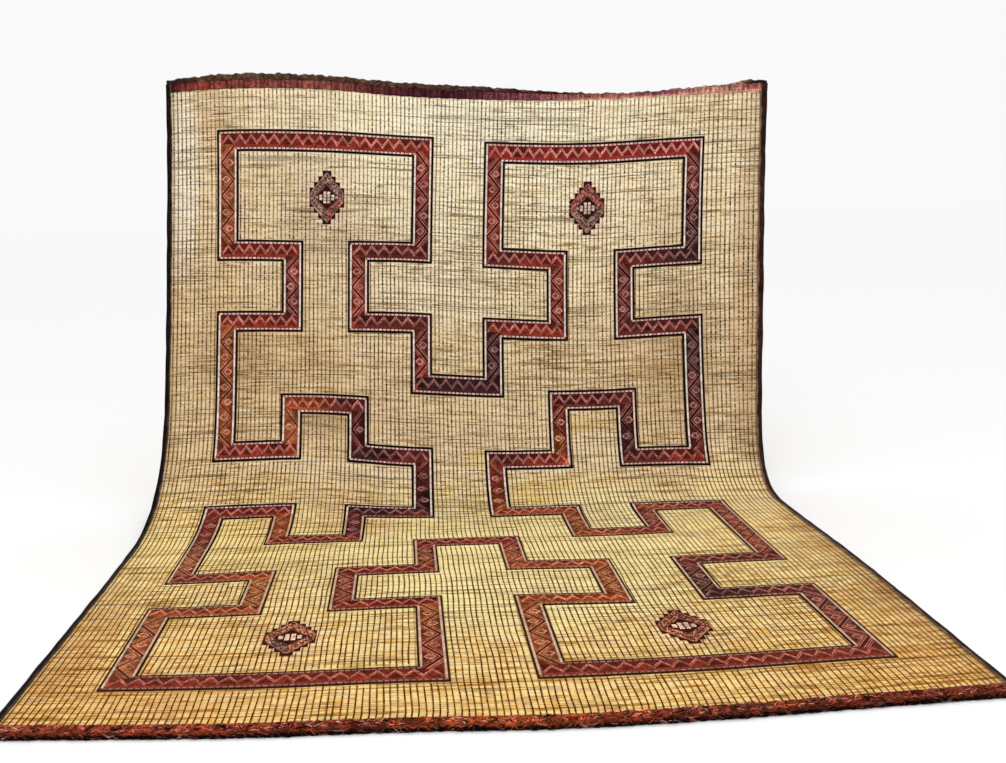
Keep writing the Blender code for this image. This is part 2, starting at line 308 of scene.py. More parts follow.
def spread(across, along):
    """The real place across: the margins widen or narrow with the rug's uneven edges."""
    left, right = -ACROSS_LEVELS["outer"][0], ACROSS_LEVELS["outer"][1]
    by_station = weights(along, STATIONS)
    reach_left = -(by_station @ np.array(LEFT_REACH))
    reach_right = by_station @ np.array(RIGHT_REACH)
    on_left = left + (across - left) * (reach_left - left) / (EDGE_LEFT - left)
    on_right = right + (across - right) * (reach_right - right) / (EDGE_RIGHT - right)
    return np.where(across < left, on_left, np.where(across > right, on_right, across))


def fall_tables(tracks):
    """For each track across: steps along, with the slope, the travel forward and the height there."""
    steps = np.arange(-FALL_MARGIN, MAT_END + FALL_MARGIN, FALL_STEP)
    start = (BEND_START + BEND_START_TILT * tracks)[:, None]
    end = (BEND_END + BEND_END_TILT * tracks)[:, None]
    curl = (CURL + CURL_TILT * tracks)[:, None]
    hang = (LEAN + LEAN_TILT * tracks)[:, None] + curl * np.minimum(steps, end)
    turned = rise(steps, start, end)
    slope = hang + (math.pi / 2 - hang) * turned**2 * (3 - 2 * turned)
    forward = np.zeros_like(slope)
    drop = np.zeros_like(slope)
    forward[:, 1:] = np.cumsum((np.sin(slope[:, 1:]) + np.sin(slope[:, :-1])) / 2, axis=1)
    drop[:, 1:] = np.cumsum((np.cos(slope[:, 1:]) + np.cos(slope[:, :-1])) / 2, axis=1)
    zero = round(FALL_MARGIN / FALL_STEP)
    forward = (forward - forward[:, zero : zero + 1]) * FALL_STEP
    return steps, slope, forward, (drop[:, -1:] - drop) * FALL_STEP


def bilinear(values, a, b):
    """Values of a table at fractional places, a along its first axis and b along its second."""
    i = np.clip(a.astype(int), 0, values.shape[0] - 2)
    j = np.clip(b.astype(int), 0, values.shape[1] - 2)
    extra = (1,) * (values.ndim - 2)
    fa = (a - i).reshape(a.shape + extra)
    fb = (b - j).reshape(b.shape + extra)
    low = values[i, j] * (1 - fb) + values[i, j + 1] * fb
    high = values[i + 1, j] * (1 - fb) + values[i + 1, j + 1] * fb
    return low * (1 - fa) + high * fa


def outwards(slope):
    """The way that the rug's face looks where it slopes by that angle from hanging straight down."""
    return np.stack([np.zeros_like(slope), -np.cos(slope), np.sin(slope)], axis=-1)


def drape(columns, rows):
    """Above the floor, the reeds' middle over a grid of lines, and the way that the face looks there."""
    across, along = np.meshgrid(columns, rows)
    actual = spread(across, along)
    by_station = weights(along, STATIONS)
    bow = np.einsum("...i,ij,...j->...", by_station, np.array(BOW), weights(actual, BOW_PLACES))
    places, distances = zip(*TOP_DIP)
    dip = rise(along, TOP_BAND_END, MAT_TOP) * (weights(actual, places) @ np.array(distances))
    tracks = np.linspace(-1.5, 1.5, 61)
    steps, slope, forward, above = fall_tables(tracks)
    a = (actual - tracks[0]) / (tracks[1] - tracks[0])
    b = (along + bow + dip - steps[0]) / FALL_STEP
    angle = bilinear(slope, a, b)
    facing = outwards(angle)
    x = actual + by_station @ np.array(DRIFT)
    z = bilinear(above, a, b) + REED_THICKNESS / 2
    middle = np.stack([x, -bilinear(forward, a, b), z], axis=-1)
    left, right = ACROSS_LEVELS["outer"]
    turns = (EDGE_LEFT + BINDING_LEFT_WIDTH, -left, right, EDGE_RIGHT - BINDING_RIGHT_WIDTH)
    full = LEATHER_THICKNESS + GAP
    lift = np.interp(across, turns, (full, 0.0, 0.0, full))
    return middle + lift[..., None] * facing, facing


COLUMNS = np.linspace(-1.36, 1.40, 139)
ROWS = np.linspace(-0.05, 3.75, 761)
ORIGIN = drape(np.zeros(1), np.zeros(1))[0][0, 0]
FLOOR = -ORIGIN[2]
MIDDLES, FACINGS = drape(COLUMNS, ROWS)
MIDDLES -= ORIGIN


def surface(across, along, height):
    """Points over the draped reeds."""
    across, along, height = np.broadcast_arrays(*(np.asarray(v, float) for v in (across, along, height)))
    a = (across - COLUMNS[0]) / (COLUMNS[1] - COLUMNS[0])
    b = (along - ROWS[0]) / (ROWS[1] - ROWS[0])
    return bilinear(MIDDLES, b, a) + height[..., None] * bilinear(FACINGS, b, a)


def over(places, height):
    """Points over the draped reeds, for places given as pairs of across and along."""
    places = np.asarray(places)
    return surface(places[..., 0], places[..., 1], height)


def thong_places():
    """Where the thongs lie across, from the left edge to the right."""
    places = [EDGE_LEFT - 0.0104]
    while places[-1] < EDGE_RIGHT + 0.02:
        places.append(places[-1] + float(np.interp(places[-1], *zip(*THONG_PITCHES))))
    return np.array(places)


THONGS = thong_places()


def thong_shift(across, along):
    """How far neighbouring thongs wander sideways together: most on the floor, and not at the side edges."""
    edges = rise(across, EDGE_LEFT, EDGE_LEFT + 0.1) * rise(across, EDGE_RIGHT, EDGE_RIGHT - 0.1)
    slow = 0.0019 * np.sin(7.3 * along + 3.1 * across + 1.0)
    middling = 0.0012 * np.sin(15.1 * along - 8.3 * across + 2.0)
    quick = 0.0006 * np.sin(31.0 * along + 11.0 * across)
    return (slow + middling + quick) * blend(0.35, 1.0, rise(along, *TURN)) * edges


def wander(count, x, waves, amplitude=1.0):
    """Smooth random curves over x, one row for each of count, from waves of (length, share)."""
    total = np.zeros((count, len(x)))
    for length, share in waves:
        phase = random.uniform(0, 2 * math.pi, (count, 1))
        stretch = random.uniform(0.8, 1.25, (count, 1))
        total += share * np.sin(2 * math.pi * x[None, :] / (length * stretch) + phase)
    return amplitude * total


# Meshes


def mesh_piece(name, node, look, points, faces, colours=None, maps=None, smooth=True):
    """A piece that stands for a node, from its vertices and a list of arrays of faces, each of one size.

    look is its material and a slot name; the slot name is not used. colours gives each vertex a dye. maps
    gives each vertex, or each corner of the faces, its place in named UV maps.
    """
    points = np.asarray(points, float).reshape(-1, 3)
    sizes = np.concatenate([np.full(len(f), f.shape[1]) for f in faces])
    loops = np.concatenate([f.ravel() for f in faces]).astype(np.int32)
    starts = np.concatenate([[0], np.cumsum(sizes)[:-1]]).astype(np.int32)
    mesh = bpy.data.meshes.new(name)
    mesh.vertices.add(len(points))
    mesh.vertices.foreach_set("co", points.ravel())
    mesh.loops.add(len(loops))
    mesh.loops.foreach_set("vertex_index", loops)
    mesh.polygons.add(len(starts))
    mesh.polygons.foreach_set("loop_start", starts)
    for title, places in (maps or {}).items():
        places = np.asarray(places, np.float32).reshape(-1, 2)
        places = places if len(places) == len(loops) else places[loops]
        mesh.uv_layers.new(name=title).uv.foreach_set("vector", places.ravel())
    if colours is not None:
        dye = mesh.color_attributes.new(name="dye", type="FLOAT_COLOR", domain="POINT")
        rgba = np.ones((len(points), 4))
        rgba[:, :3] = np.asarray(colours).reshape(-1, 3)
        dye.data.foreach_set("color", rgba.ravel())
    mesh.update(calc_edges=True)
    mesh.polygons.foreach_set("use_smooth", np.full(len(starts), smooth))
    material, slot = look
    mesh.materials.append(material)
    piece = bpy.data.objects.new(name, mesh)
    bpy.context.scene.collection.objects.link(piece)
    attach(piece, "root")
    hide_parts(node)
    return piece


def recalculate_outside(piece):
    """Turns the faces of closed shells outwards."""
    shell = bmesh.new()
    shell.from_mesh(piece.data)
    bmesh.ops.recalc_face_normals(shell, faces=shell.faces[:])
    shell.to_mesh(piece.data)
    shell.free()


def grid_faces(rows, columns, start=0):
    """Quads over a grid of vertices that runs along the rug by rows, seen from its face."""
    corner = start + (np.arange(rows - 1)[:, None] * columns + np.arange(columns - 1)[None, :])
    corner = corner.ravel()
    return np.stack([corner, corner + columns, corner + columns + 1, corner + 1], axis=1)


def many_grids(count, rows, columns):
    """Quads over that many separate grids of vertices, one after the other."""
    one = grid_faces(rows, columns)
    starts = (np.arange(count) * rows * columns)[:, None, None]
    return (one[None] + starts).reshape(-1, 4)


def tube_faces(stations, around, closed_loop):
    """Quads round a tube of rings."""
    m = np.arange(stations if closed_loop else stations - 1)
    k = np.arange(around)
    here = (m[:, None] * around + k[None, :]).ravel()
    beside = (m[:, None] * around + (k[None, :] + 1) % around).ravel()
    step = (m[:, None] + 1) % stations * around
    there = (step + k[None, :]).ravel()
    opposite = (step + (k[None, :] + 1) % around).ravel()
    return np.stack([here, there, opposite, beside], axis=1)


class Pile:
    """Gathers many small grids of one size into one piece, each with its own square of the bake map."""

    def __init__(self, rows, columns):
        self.rows, self.columns = rows, columns
        self.points, self.colours = [], []

    def add(self, points, colour):
        self.points.append(np.asarray(points).reshape(-1, 3))
        self.colours.append(np.broadcast_to(np.asarray(colour).reshape(-1, 3), (self.rows * self.columns, 3)))

    def piece(self, name, node, look, smooth=True):
        count = len(self.points)
        points, colours = np.concatenate(self.points), np.concatenate(self.colours)
        faces = [many_grids(count, self.rows, self.columns)]
        maps = {"OFBake": bake_squares(count, self.rows, self.columns)}
        return mesh_piece(name, node, look, points, faces, colours, maps, smooth)


def bake_squares(count, rows, columns):
    """A place in the bake map for each vertex of many small grids, each grid in its own square."""
    side = math.ceil(math.sqrt(count))
    corner = np.stack([np.arange(count) % side, np.arange(count) // side], axis=-1)
    across, along = np.meshgrid(np.linspace(0.25, 0.75, columns), np.linspace(0.25, 0.75, rows))
    inner = np.stack([across, along], axis=-1).reshape(-1, 2)
    return (corner[:, None, :] + inner[None]) / side


def ribbon(pile, start, end, width, bottom, top, colour):
    """A low crowned strap from one place on the rug to another, as one grid of the pile."""
    start, end = np.asarray(start, float), np.asarray(end, float)
    middle = start + (end - start) * np.linspace(0, 1, pile.rows)[:, None]
    direction = (end - start) / max(np.linalg.norm(end - start), 1e-9)
    aside = np.array([-direction[1], direction[0]]) * width / 2
    share = np.linspace(1, -1, pile.columns)
    heights = bottom + (top - bottom) * (1 - np.abs(share) ** 2.5)
    pile.add(over(middle[:, None, :] + share[None, :, None] * aside, heights), colour)


def pad(pile, low, high, bottom, top, edge, colour):
    """A low block with rounded sides, as one 4 by 4 grid of the pile."""
    x = np.array([low[0], low[0] + edge, high[0] - edge, high[0]])
    y = np.array([low[1], low[1] + edge, high[1] - edge, high[1]])
    across, along = np.meshgrid(x, y)
    heights = np.full((4, 4), bottom)
    heights[1:3, 1:3] = top
    pile.add(surface(across, along, heights), colour)


# Materials


class Signal:
    """A number or colour in a material's nodes, which takes the usual arithmetic."""

    def __init__(self, finish, socket):
        self.finish, self.socket = finish, socket

    def __add__(self, other):
        return self.finish.math("ADD", self, other)

    def __sub__(self, other):
        return self.finish.math("SUBTRACT", self, other)

    def __mul__(self, other):
        return self.finish.math("MULTIPLY", self, other)

    def __truediv__(self, other):
        return self.finish.math("DIVIDE", self, other)

    def __abs__(self):
        return self.finish.math("ABSOLUTE", self)

    def floor(self):
        return self.finish.math("FLOOR", self)

    def round(self):
        return self.finish.math("ROUND", self)

    def fract(self):
        return self.finish.math("FRACT", self)

    def ramp(self, low, high, start=0.0, end=1.0):
        """start below low, end above high, and a smooth change between."""
        inputs = {"Value": self, "From Min": low, "From Max": high, "To Min": start, "To Max": end}
        return self.finish.node("ShaderNodeMapRange", inputs, interpolation_type="SMOOTHSTEP")


class Finish:
    """A material whose nodes are added one by one."""

    def __init__(self, name):
        self.material = bpy.data.materials.new(name)
        self.material.use_nodes = True
        self.tree = self.material.node_tree
        self.shader = self.tree.nodes["Principled BSDF"]

    def put(self, socket, value):
        if isinstance(value, Signal):
            self.tree.links.new(value.socket, socket)
        elif hasattr(value, "__len__"):
            numbers = [float(v) for v in value]
            missing = len(socket.default_value) - len(numbers)
            socket.default_value = numbers + [1.0] * missing
        else:
            socket.default_value = value

    def node(self, kind, inputs, output=0, **settings):
        """A node's output, from its settings and from values for its inputs by name or number."""
        made = self.tree.nodes.new(kind)
        for key, value in settings.items():
            setattr(made, key, value)
        for key, value in inputs.items():
            self.put(made.inputs[key], value)
        return Signal(self, made.outputs[output])

    def math(self, operation, a, b=0.0):
        return self.node("ShaderNodeMath", {0: a, 1: b}, operation=operation)

    def mix(self, share, a, b, blend_type="MIX"):
        inputs = {0: share, 6: a, 7: b}
        return self.node("ShaderNodeMix", inputs, 2, data_type="RGBA", blend_type=blend_type)

    def tinted(self, a, b):
        """One colour multiplied by another."""
        return self.mix(1.0, a, b, "MULTIPLY")

    def vector(self, x, y, z=0.0):
        return self.node("ShaderNodeCombineXYZ", {"X": x, "Y": y, "Z": z})

    def noise(self, vector, scale=1.0, detail=2.0, roughness=0.5):
        inputs = {"Vector": vector, "Scale": scale, "Detail": detail, "Roughness": roughness}
        return self.node("ShaderNodeTexNoise", inputs)

    def place(self, title):
        """The two numbers of a UV map."""
        split = self.tree.nodes.new("ShaderNodeSeparateXYZ")
        self.put(split.inputs[0], self.node("ShaderNodeUVMap", {}, uv_map=title))
        return Signal(self, split.outputs[0]), Signal(self, split.outputs[1])

    def bump(self, height, distance):
        inputs = {"Height": height, "Distance": distance, "Strength": 1.0}
        self.put(self.shader.inputs["Normal"], self.node("ShaderNodeBump", inputs))

    def finish(self, colour, roughness, specular):
        self.put(self.shader.inputs["Base Color"], colour)
        self.put(self.shader.inputs["Roughness"], roughness)
        self.shader.inputs["Specular IOR Level"].default_value = specular
        return self.material


# Marks on the reeds, with some patches of painted light and shade: place across and along, reach across and
# along, strength, then red, green and blue
REED_MARKS_AND_PAINTED_LIGHT = (
    (0.50, 1.88, 0.42, 0.16, 0.50, 240, 200, 96),
    (0.53, 1.51, 0.16, 0.05, 0.45, 226, 192, 100),
    (0.08, 1.66, 0.06, 0.05, 0.50, 230, 198, 96),
    (-0.62, 0.66, 0.26, 0.17, 0.30, 140, 104, 72),
    (-0.60, 1.50, 0.16, 0.12, 0.30, 132, 100, 68),
    (1.00, 1.20, 0.22, 0.36, 0.32, 136, 100, 66),
    (-1.02, 1.20, 0.22, 0.22, 0.28, 150, 112, 74),
    (1.28, 1.10, 0.08, 0.90, 0.35, 190, 122, 68),
    (1.29, 2.80, 0.06, 0.90, 0.40, 200, 124, 74),
    (-1.22, 3.10, 0.10, 0.50, 0.35, 196, 116, 50),
    (-0.02, 1.95, 0.18, 0.10, 0.22, 120, 96, 66),
    (0.077, 0.328, 0.020, 0.016, 0.75, 244, 240, 236),
    (0.614, 0.347, 0.016, 0.012, 0.75, 244, 240, 236),
    (1.266, 0.364, 0.014, 0.020, 0.75, 240, 236, 232),
    (0.10, 0.16, 0.55, 0.16, 0.40, 252, 248, 228),
    (-1.23, 0.45, 0.07, 0.50, 0.65, 252, 244, 230),
    (-1.10, 0.20, 0.07, 0.22, 0.40, 214, 160, 108),
    # Grey just under the meander's top run on the left: partly dye rubbed off its black edging, partly its
    # painted shadow
    (-0.86, 0.345, 0.16, 0.016, 0.60, 128, 124, 124),
    (-0.66, 0.345, 0.12, 0.014, 0.50, 128, 124, 124),
    (-0.40, 1.75, 0.50, 0.07, 0.25, 250, 236, 206),
    # A painted pool of light on the right of the bend, making up for the shade where the rug turns
    (1.18, 1.92, 0.24, 0.30, 1.00, 255, 226, 164),
    (0.62, 2.02, 0.32, 0.28, 0.90, 255, 238, 182),
    (0.15, 2.92, 0.55, 0.24, 0.90, 255, 240, 172),
    (0.62, 1.64, 0.22, 0.12, 0.50, 250, 230, 190),
    (-0.40, 2.15, 0.26, 0.13, 0.35, 208, 148, 96),
    (-0.86, 3.45, 0.32, 0.15, 0.35, 190, 130, 78),
    (0.98, 3.45, 0.35, 0.12, 0.25, 196, 136, 78),
    (-0.45, 1.95, 0.30, 0.14, 0.30, 200, 144, 98),
    (-0.10, 0.92, 0.36, 0.16, 0.45, 255, 246, 216),
    (0.95, 0.64, 0.15, 0.20, 0.32, 184, 154, 112),
    (-0.72, 0.42, 0.30, 0.12, 0.25, 184, 154, 108),
    (-0.95, 2.30, 0.50, 0.30, 0.95, 255, 228, 150),
    (0.10, 2.45, 0.75, 0.45, 0.80, 255, 236, 168),
    (-0.597, 0.515, 0.12, 0.16, 0.35, 244, 204, 180),
    (0.573, 0.520, 0.12, 0.16, 0.35, 244, 204, 180),
    (-0.592, 3.140, 0.12, 0.17, 0.50, 244, 200, 170),
    (0.583, 3.160, 0.12, 0.17, 0.50, 244, 200, 170),
)


def reed_finish():
    """Straw-coloured reeds, mottled along each one, with painted shade in the gaps between them and beside
    the thongs.
    """
    f = Finish("reeds_dressed")
    thong, reed = f.place("weave")
    across, along = f.place("rug")
    number, seam = reed.floor(), reed.round()
    cell, line = thong.floor(), thong.round()
    within = abs(reed.fract() - 0.5)
    aside = abs(thong - line)

    def noise(x, y, z, detail=2.0):
        return f.noise(f.vector(x, y, z), detail=detail)

    def chance(value, shift):
        """A number from 0 to 1 for each whole value."""
        return f.node("ShaderNodeTexWhiteNoise", {"W": value + shift}, noise_dimensions="1D")

    # The two colours that the reeds lie between, from the hanging part to the floor. Where the rug hangs, the
    # colour darkens towards the sides and lower down: painted shade.
    broad = noise(across * 2.6, along * 3.1, 9.0, 3.0)
    laid = (along + broad * 0.3).ramp(1.75, 2.28)
    sides = abs(across - 0.12).ramp(0.25, 1.25)
    lower_shade = along.ramp(0.2, 1.5) * across.ramp(0.9, 1.25, 1.0, 0.35)
    hanging = f.mix(sides * 0.50 + lower_shade * 0.78, linear(255, 246, 214), linear(236, 207, 162))
    lying = f.mix(sides * 0.6, linear(255, 239, 176), linear(255, 217, 140))
    lying = f.mix(along.ramp(2.6, 3.6), lying, f.tinted(lying, (0.95, 0.78, 0.60)))
    pale = f.mix(laid, hanging, lying)
    deep = f.tinted(pale, f.mix(laid, (0.45, 0.35, 0.20), (0.48, 0.32, 0.11)))
    calm = across.ramp(0.5, 1.0) * along.ramp(2.2, 2.9, 1.0, 0.0) * laid

    # How much each reed, and each stretch of it, differs
    strength = across.ramp(-0.4, 0.5, 1.02, 1.36) + along.ramp(0.05, 0.45, -0.32, 0.0)
    strength = strength + laid * (sides * 0.75 + 0.2) - calm * 0.9
    groups = noise(across * 3.2, reed * 0.30, 3.0)
    streaks = noise(across * 11.0, number * 7.31, 5.0, 3.0)
    single = f.node("ShaderNodeTexWhiteNoise", {"Vector": f.vector(cell, number)}, noise_dimensions="2D")
    tone = (groups - 0.5) * 1.4 + (streaks - 0.5) * 2.1 + (single - 0.5) * 0.25
    tone = tone * strength + (broad - 0.5) * 0.9
    shift = along.ramp(0.2, 1.3, 0.16, 0.24) - laid * 0.105
    colour = f.mix((tone + shift).ramp(0.0, 1.0), pale, deep)

    # Cells between thongs that have turned warm or rosy
    brick = noise(cell * 0.31, (reed / 3.0).floor() * 3.7, 17.0, 1.0)
    warm = f.mix(brick.ramp(0.36, 0.44, 1.0, 0.0), colour, f.tinted(colour, (0.90, 0.72, 0.42)))
    rosy = f.mix(brick.ramp(0.57, 0.64), warm, f.tinted(warm, (0.80, 0.70, 0.74)))
    colour = f.mix(laid.ramp(0.0, 1.0, 0.35, 0.90), colour, rosy)

    # The marks, and the patches of painted light and shade, kept off the thongs
    beside = aside.ramp(0.12, 0.22)
    for u, s, reach_u, reach_s, most, red, green, blue in REED_MARKS_AND_PAINTED_LIGHT:
        du, ds = (across - u) / reach_u, (along - s) / reach_s
        away = du * du + ds * ds + (streaks - 0.5) * 1.6
        colour = f.mix(away.ramp(0.15, 1.1, most, 0.0) * beside, colour, linear(red, green, blue))

    # Stains, and single reeds that are dark or light
    stains = noise(across * 8.0, number * 5.11, 14.0, 3.0)
    thick = noise(across * 1.7, along * 2.2, 21.0).ramp(0.35, 0.65, -0.05, 0.05)
    stain = (stains + thick).ramp(0.58, 0.72, 0.0, 0.72) * (calm * -0.6 + 1.0)
    colour = f.mix(stain, colour, f.mix(laid, linear(116, 86, 50), linear(130, 78, 18)))
    short = noise(across * 4.5, number * 9.7, 4.0).ramp(0.46, 0.56)
    long = noise(across * 1.7, number * 9.7, 6.0).ramp(0.42, 0.56)
    dark = short * laid.ramp(0.0, 1.0, 0.32, 0.30) + long * laid * 0.60
    dark = dark * chance(number, 0.61).ramp(0.80, 0.88)
    colour = f.mix(dark, colour, f.mix(laid, linear(120, 92, 58), linear(122, 70, 10)))
    light = chance(number, 0.23).ramp(0.70, 0.80) * laid.ramp(0.0, 1.0, 0.30, 0.60)
    light = light * noise(across * 7.0, number * 6.3, 8.0).ramp(0.44, 0.58)
    colour = f.mix(light, colour, f.mix(laid, linear(255, 250, 228), linear(255, 240, 184)))

    # Painted shade in the gaps between the reeds, and beside the thongs
    reach = noise(across * 5.0, seam * 9.7, 2.0)
    bold = chance(seam, 0.37).ramp(0.45, 0.9) * (reach + thick).ramp(0.42, 0.56)
    gap = (within + bold * 0.30 - 0.42).ramp(0.0, 0.10) * (bold * 0.70 + 0.16)
    colour = f.mix(gap, colour, f.mix(laid, linear(66, 43, 18), linear(86, 42, 0)))
    weight = noise(line * 3.1, along * 4.0, 7.0).ramp(0.36, 0.64, 0.35, 0.95)
    knots = noise(line * 5.7, reed * 0.55, 11.0).ramp(0.35, 0.6, 0.55, 1.0)
    shade = aside.ramp(0.09, laid.ramp(0.0, 1.0, 0.26, 0.17), 1.0, 0.0) * weight * knots
    shade = shade * along.ramp(0.1, 0.9, 0.75, 1.0) * (laid * along.ramp(2.3, 2.9, -0.3, 0.0) + 1.0)
    colour = f.mix(shade * 0.88, colour, f.mix(laid, linear(88, 60, 28), linear(94, 44, 0)))

    fibre = noise(across * 60.0, reed * 6.0, 1.0, 3.0)
    f.bump(aside.ramp(0.0, 0.5) - gap * 0.6 + fibre * 0.4, 0.0009)
    return f.finish(colour, fibre.ramp(0.3, 0.7, 0.55, 0.75), 0.10)


def leather_finish(name, roughness, spread_by=0.35, grain=420.0, relief=0.0004, specular=0.05, mottle=0.15):
    """Dyed leather: the dye from the mesh, worn unevenly, with a fine grain."""
    f = Finish(name)
    dye = f.node("ShaderNodeAttribute", {}, attribute_name="dye")
    spot = f.node("ShaderNodeTexCoord", {}, 3)
    wear = f.noise(spot, scale=38.0, detail=4.0, roughness=0.6)
    fine = f.noise(spot, scale=grain)
    shade = wear.ramp(0.32, 0.68, 1.0 - spread_by, 1.0 + spread_by)
    shade = shade * fine.ramp(0.3, 0.7, 1.0 - mottle, 1.0 + mottle)
    f.bump(fine + wear * 2.0, relief)
    colour = f.tinted(dye, f.vector(shade, shade, shade))
    return f.finish(colour, wear.ramp(0.3, 0.7, roughness - 0.08, roughness + 0.1), specular)


# The camera, the light and the floor


def make_camera():
    """The photographer's camera, at its place over the floor."""
    cp, sp = math.cos(CAMERA_PITCH), math.sin(CAMERA_PITCH)
    cy, sy = math.cos(CAMERA_YAW), math.sin(CAMERA_YAW)
    forward = Vector((sy * cp, cy * cp, -sp))
    level = Vector((cy, -sy, 0))
    rising = Vector((sp * sy, sp * cy, cp))
    right = level * math.cos(CAMERA_ROLL) + rising * math.sin(CAMERA_ROLL)
    up = rising * math.cos(CAMERA_ROLL) - level * math.sin(CAMERA_ROLL)
    data = bpy.data.cameras.new("camera")
    data.sensor_width = SENSOR
    data.lens = SENSOR * FOCAL_PIXELS / PHOTO_WIDTH
    camera = bpy.data.objects.new("camera", data)
    place = Matrix.Translation((CAMERA_ACROSS, CAMERA_BACK, FLOOR + CAMERA_ABOVE_FLOOR))
    camera.matrix_world = place @ Matrix((right, up, -forward)).transposed().to_4x4()
    bpy.context.scene.collection.objects.link(camera)
    bpy.context.scene.camera = camera


def make_studio():
    """A pale floor, an even pale surround, and one soft lamp."""
    mesh = bpy.data.meshes.new("studio_floor")
    size = 150.0
    corners = [(-size, -size, FLOOR), (size, -size, FLOOR), (size, size, FLOOR), (-size, size, FLOOR)]
    mesh.from_pydata(corners, [], [(0, 1, 2, 3)])
    floor = bpy.data.objects.new("studio_floor", mesh)
    bpy.context.scene.collection.objects.link(floor)
    mesh.materials.append(Finish("studio_floor").finish(linear(254, 254, 254), 0.9, 0.0))

    world = bpy.data.worlds.new("studio")
    world.use_nodes = True
    bpy.context.scene.world = world
    background = world.node_tree.nodes["Background"]
    background.inputs["Color"].default_value = (1.0, 1.0, 1.0, 1.0)
    background.inputs["Strength"].default_value = SKY
    data = bpy.data.lights.new("lamp", "AREA")
    data.energy = LAMP_POWER
    data.size = 2.4
    light = bpy.data.objects.new("lamp", data)
    light.location = (-0.5, -5.2, 2.2)
    aim = Vector((0.0, -0.6, -1.0)) - Vector(light.location)
    light.rotation_euler = aim.to_track_quat("-Z", "Y").to_euler()
    bpy.context.scene.collection.objects.link(light)
    bpy.context.scene.view_settings.view_transform = "Standard"


# The pieces


def make_reeds(look):
    """The mat in strips of ridged reeds, each strip a closed slab."""
    lines = [MAT_TOP]
    while lines[-1] < MAT_END - 0.003:
        lines.append(lines[-1] + float(np.clip(random.normal(REED_WIDTH, 0.0008), 0.0034, 0.0066)))
    lines[-1] = MAT_END
    lines = np.array(lines)
    reeds = len(lines) - 1
    columns = np.linspace(EDGE_LEFT + 0.001, EDGE_RIGHT - 0.001, 23)
    for strip in range(REED_STRIPS):
        first, last = reeds * strip // REED_STRIPS, reeds * (strip + 1) // REED_STRIPS
        section = []
        for k in range(first, last):
            crown = REED_CROWN * random.uniform(0.86, 1.06)
            for share, height in ((0.0, REED_VALLEY), (0.26, crown), (0.74, crown)):
                section.append((lines[k] + share * (lines[k + 1] - lines[k]), k + share, height))
        section.append((lines[last], last, REED_VALLEY))
        along, reed, height = (np.array(v)[:, None] for v in zip(*section))
        thong = np.interp(columns - thong_shift(columns, along), THONGS, np.arange(len(THONGS)))
        weave = np.stack(np.broadcast_arrays(thong, reed), axis=-1)
        rug = np.stack(np.broadcast_arrays(columns, along), axis=-1)
        faces, bake = slab(len(section), len(columns))
        maps = {"weave": [weave, weave], "rug": [rug, rug], "OFBake": bake}
        points = [surface(columns, along, height), surface(columns, along, -height)]
        piece = mesh_piece(f"reeds_{strip + 1}", "reed_mat", look, points, faces, maps=maps)


def slab(rows, columns):
    """Faces of a closed slab between two grids, the front's vertices first, and each corner's bake place.

    The front takes the upper half of the bake map, the back the lower half, and the walls the margins.
    """
    size = rows * columns
    index = np.arange(size).reshape(rows, columns)
    x = 0.02 + 0.96 * np.tile(np.linspace(0, 1, columns), rows)
    y = 0.475 * np.repeat(np.linspace(1, 0, rows), columns)
    across, down = np.tile(x, 2), np.concatenate([0.515 + y, 0.010 + y])
    faces = [grid_faces(rows, columns), grid_faces(rows, columns, size)[:, ::-1]]
    places = [np.stack([across[face], down[face]], axis=-1) for face in faces]
    # The walls: line of vertices, whether the faces turn round, whether it runs down the rug, margin
    for line, turned, runs_down, low, high in (
        (index[:, 0], False, True, 0.004, 0.014),
        (index[:, -1], True, True, 0.986, 0.996),
        (index[0], True, False, 0.502, 0.507),
        (index[-1], False, False, 0.492, 0.497),
    ):
        face = np.stack([line[:-1], line[:-1] + size, line[1:] + size, line[1:]], axis=1)
        if turned:
            face = face[:, ::-1]
        level = np.where(face < size, low, high)
        pair = (level, down[face % size]) if runs_down else (across[face % size], level)
        faces.append(face)
        places.append(np.stack(pair, axis=-1))
    return faces, np.concatenate(places)


def inside_many(corners, x, y):
    """For each point, whether it lies inside a closed outline."""
    found = np.zeros(x.shape, bool)
    for (x0, y0), (x1, y1) in zip(corners, corners[1:] + corners[:1]):
        if y0 != y1:
            found ^= ((y0 > y) != (y1 > y)) & (x < x0 + (y - y0) * (x1 - x0) / (y1 - y0))
    return found


def under_leather(x, y):
    """For each place, whether the meander or a medallion covers it."""
    covered = inside_many(meander_outline(0.0), x, y) & ~inside_many(meander_outline(BAND_WIDTH), x, y)
    for _, across, along, _ in MEDALLIONS:
        for count, reach in MEDALLION_STEPS:
            covered |= (np.abs(x - across) < count * MEDALLION_STEP) & (np.abs(y - along) < reach)
    return covered


def visible_thongs():
    """The thongs that lie between the two bindings."""
    low = EDGE_LEFT + BINDING_LEFT_WIDTH + 0.002
    high = EDGE_RIGHT - BINDING_RIGHT_WIDTH - 0.002
    return THONGS[(THONGS > low) & (THONGS < high)]


def strap_ends(count):
    """The straps of that many thongs, as the number of each one's thong, its start and its end."""
    straps = []
    for lane in range(count):
        at = TOP_BAND_END + random.uniform(0, 0.01)
        while at < FRONT_BAND_START - 0.004:
            length = random.uniform(0.010, 0.025)
            straps.append((lane, at, min(at + length, FRONT_BAND_START)))
            at += length + random.uniform(0.0014, 0.0036) * (0.3 if at > FLOOR_PART else 1.0)
    lanes, starts, ends = np.array(straps).T
    return lanes.astype(int), starts, ends


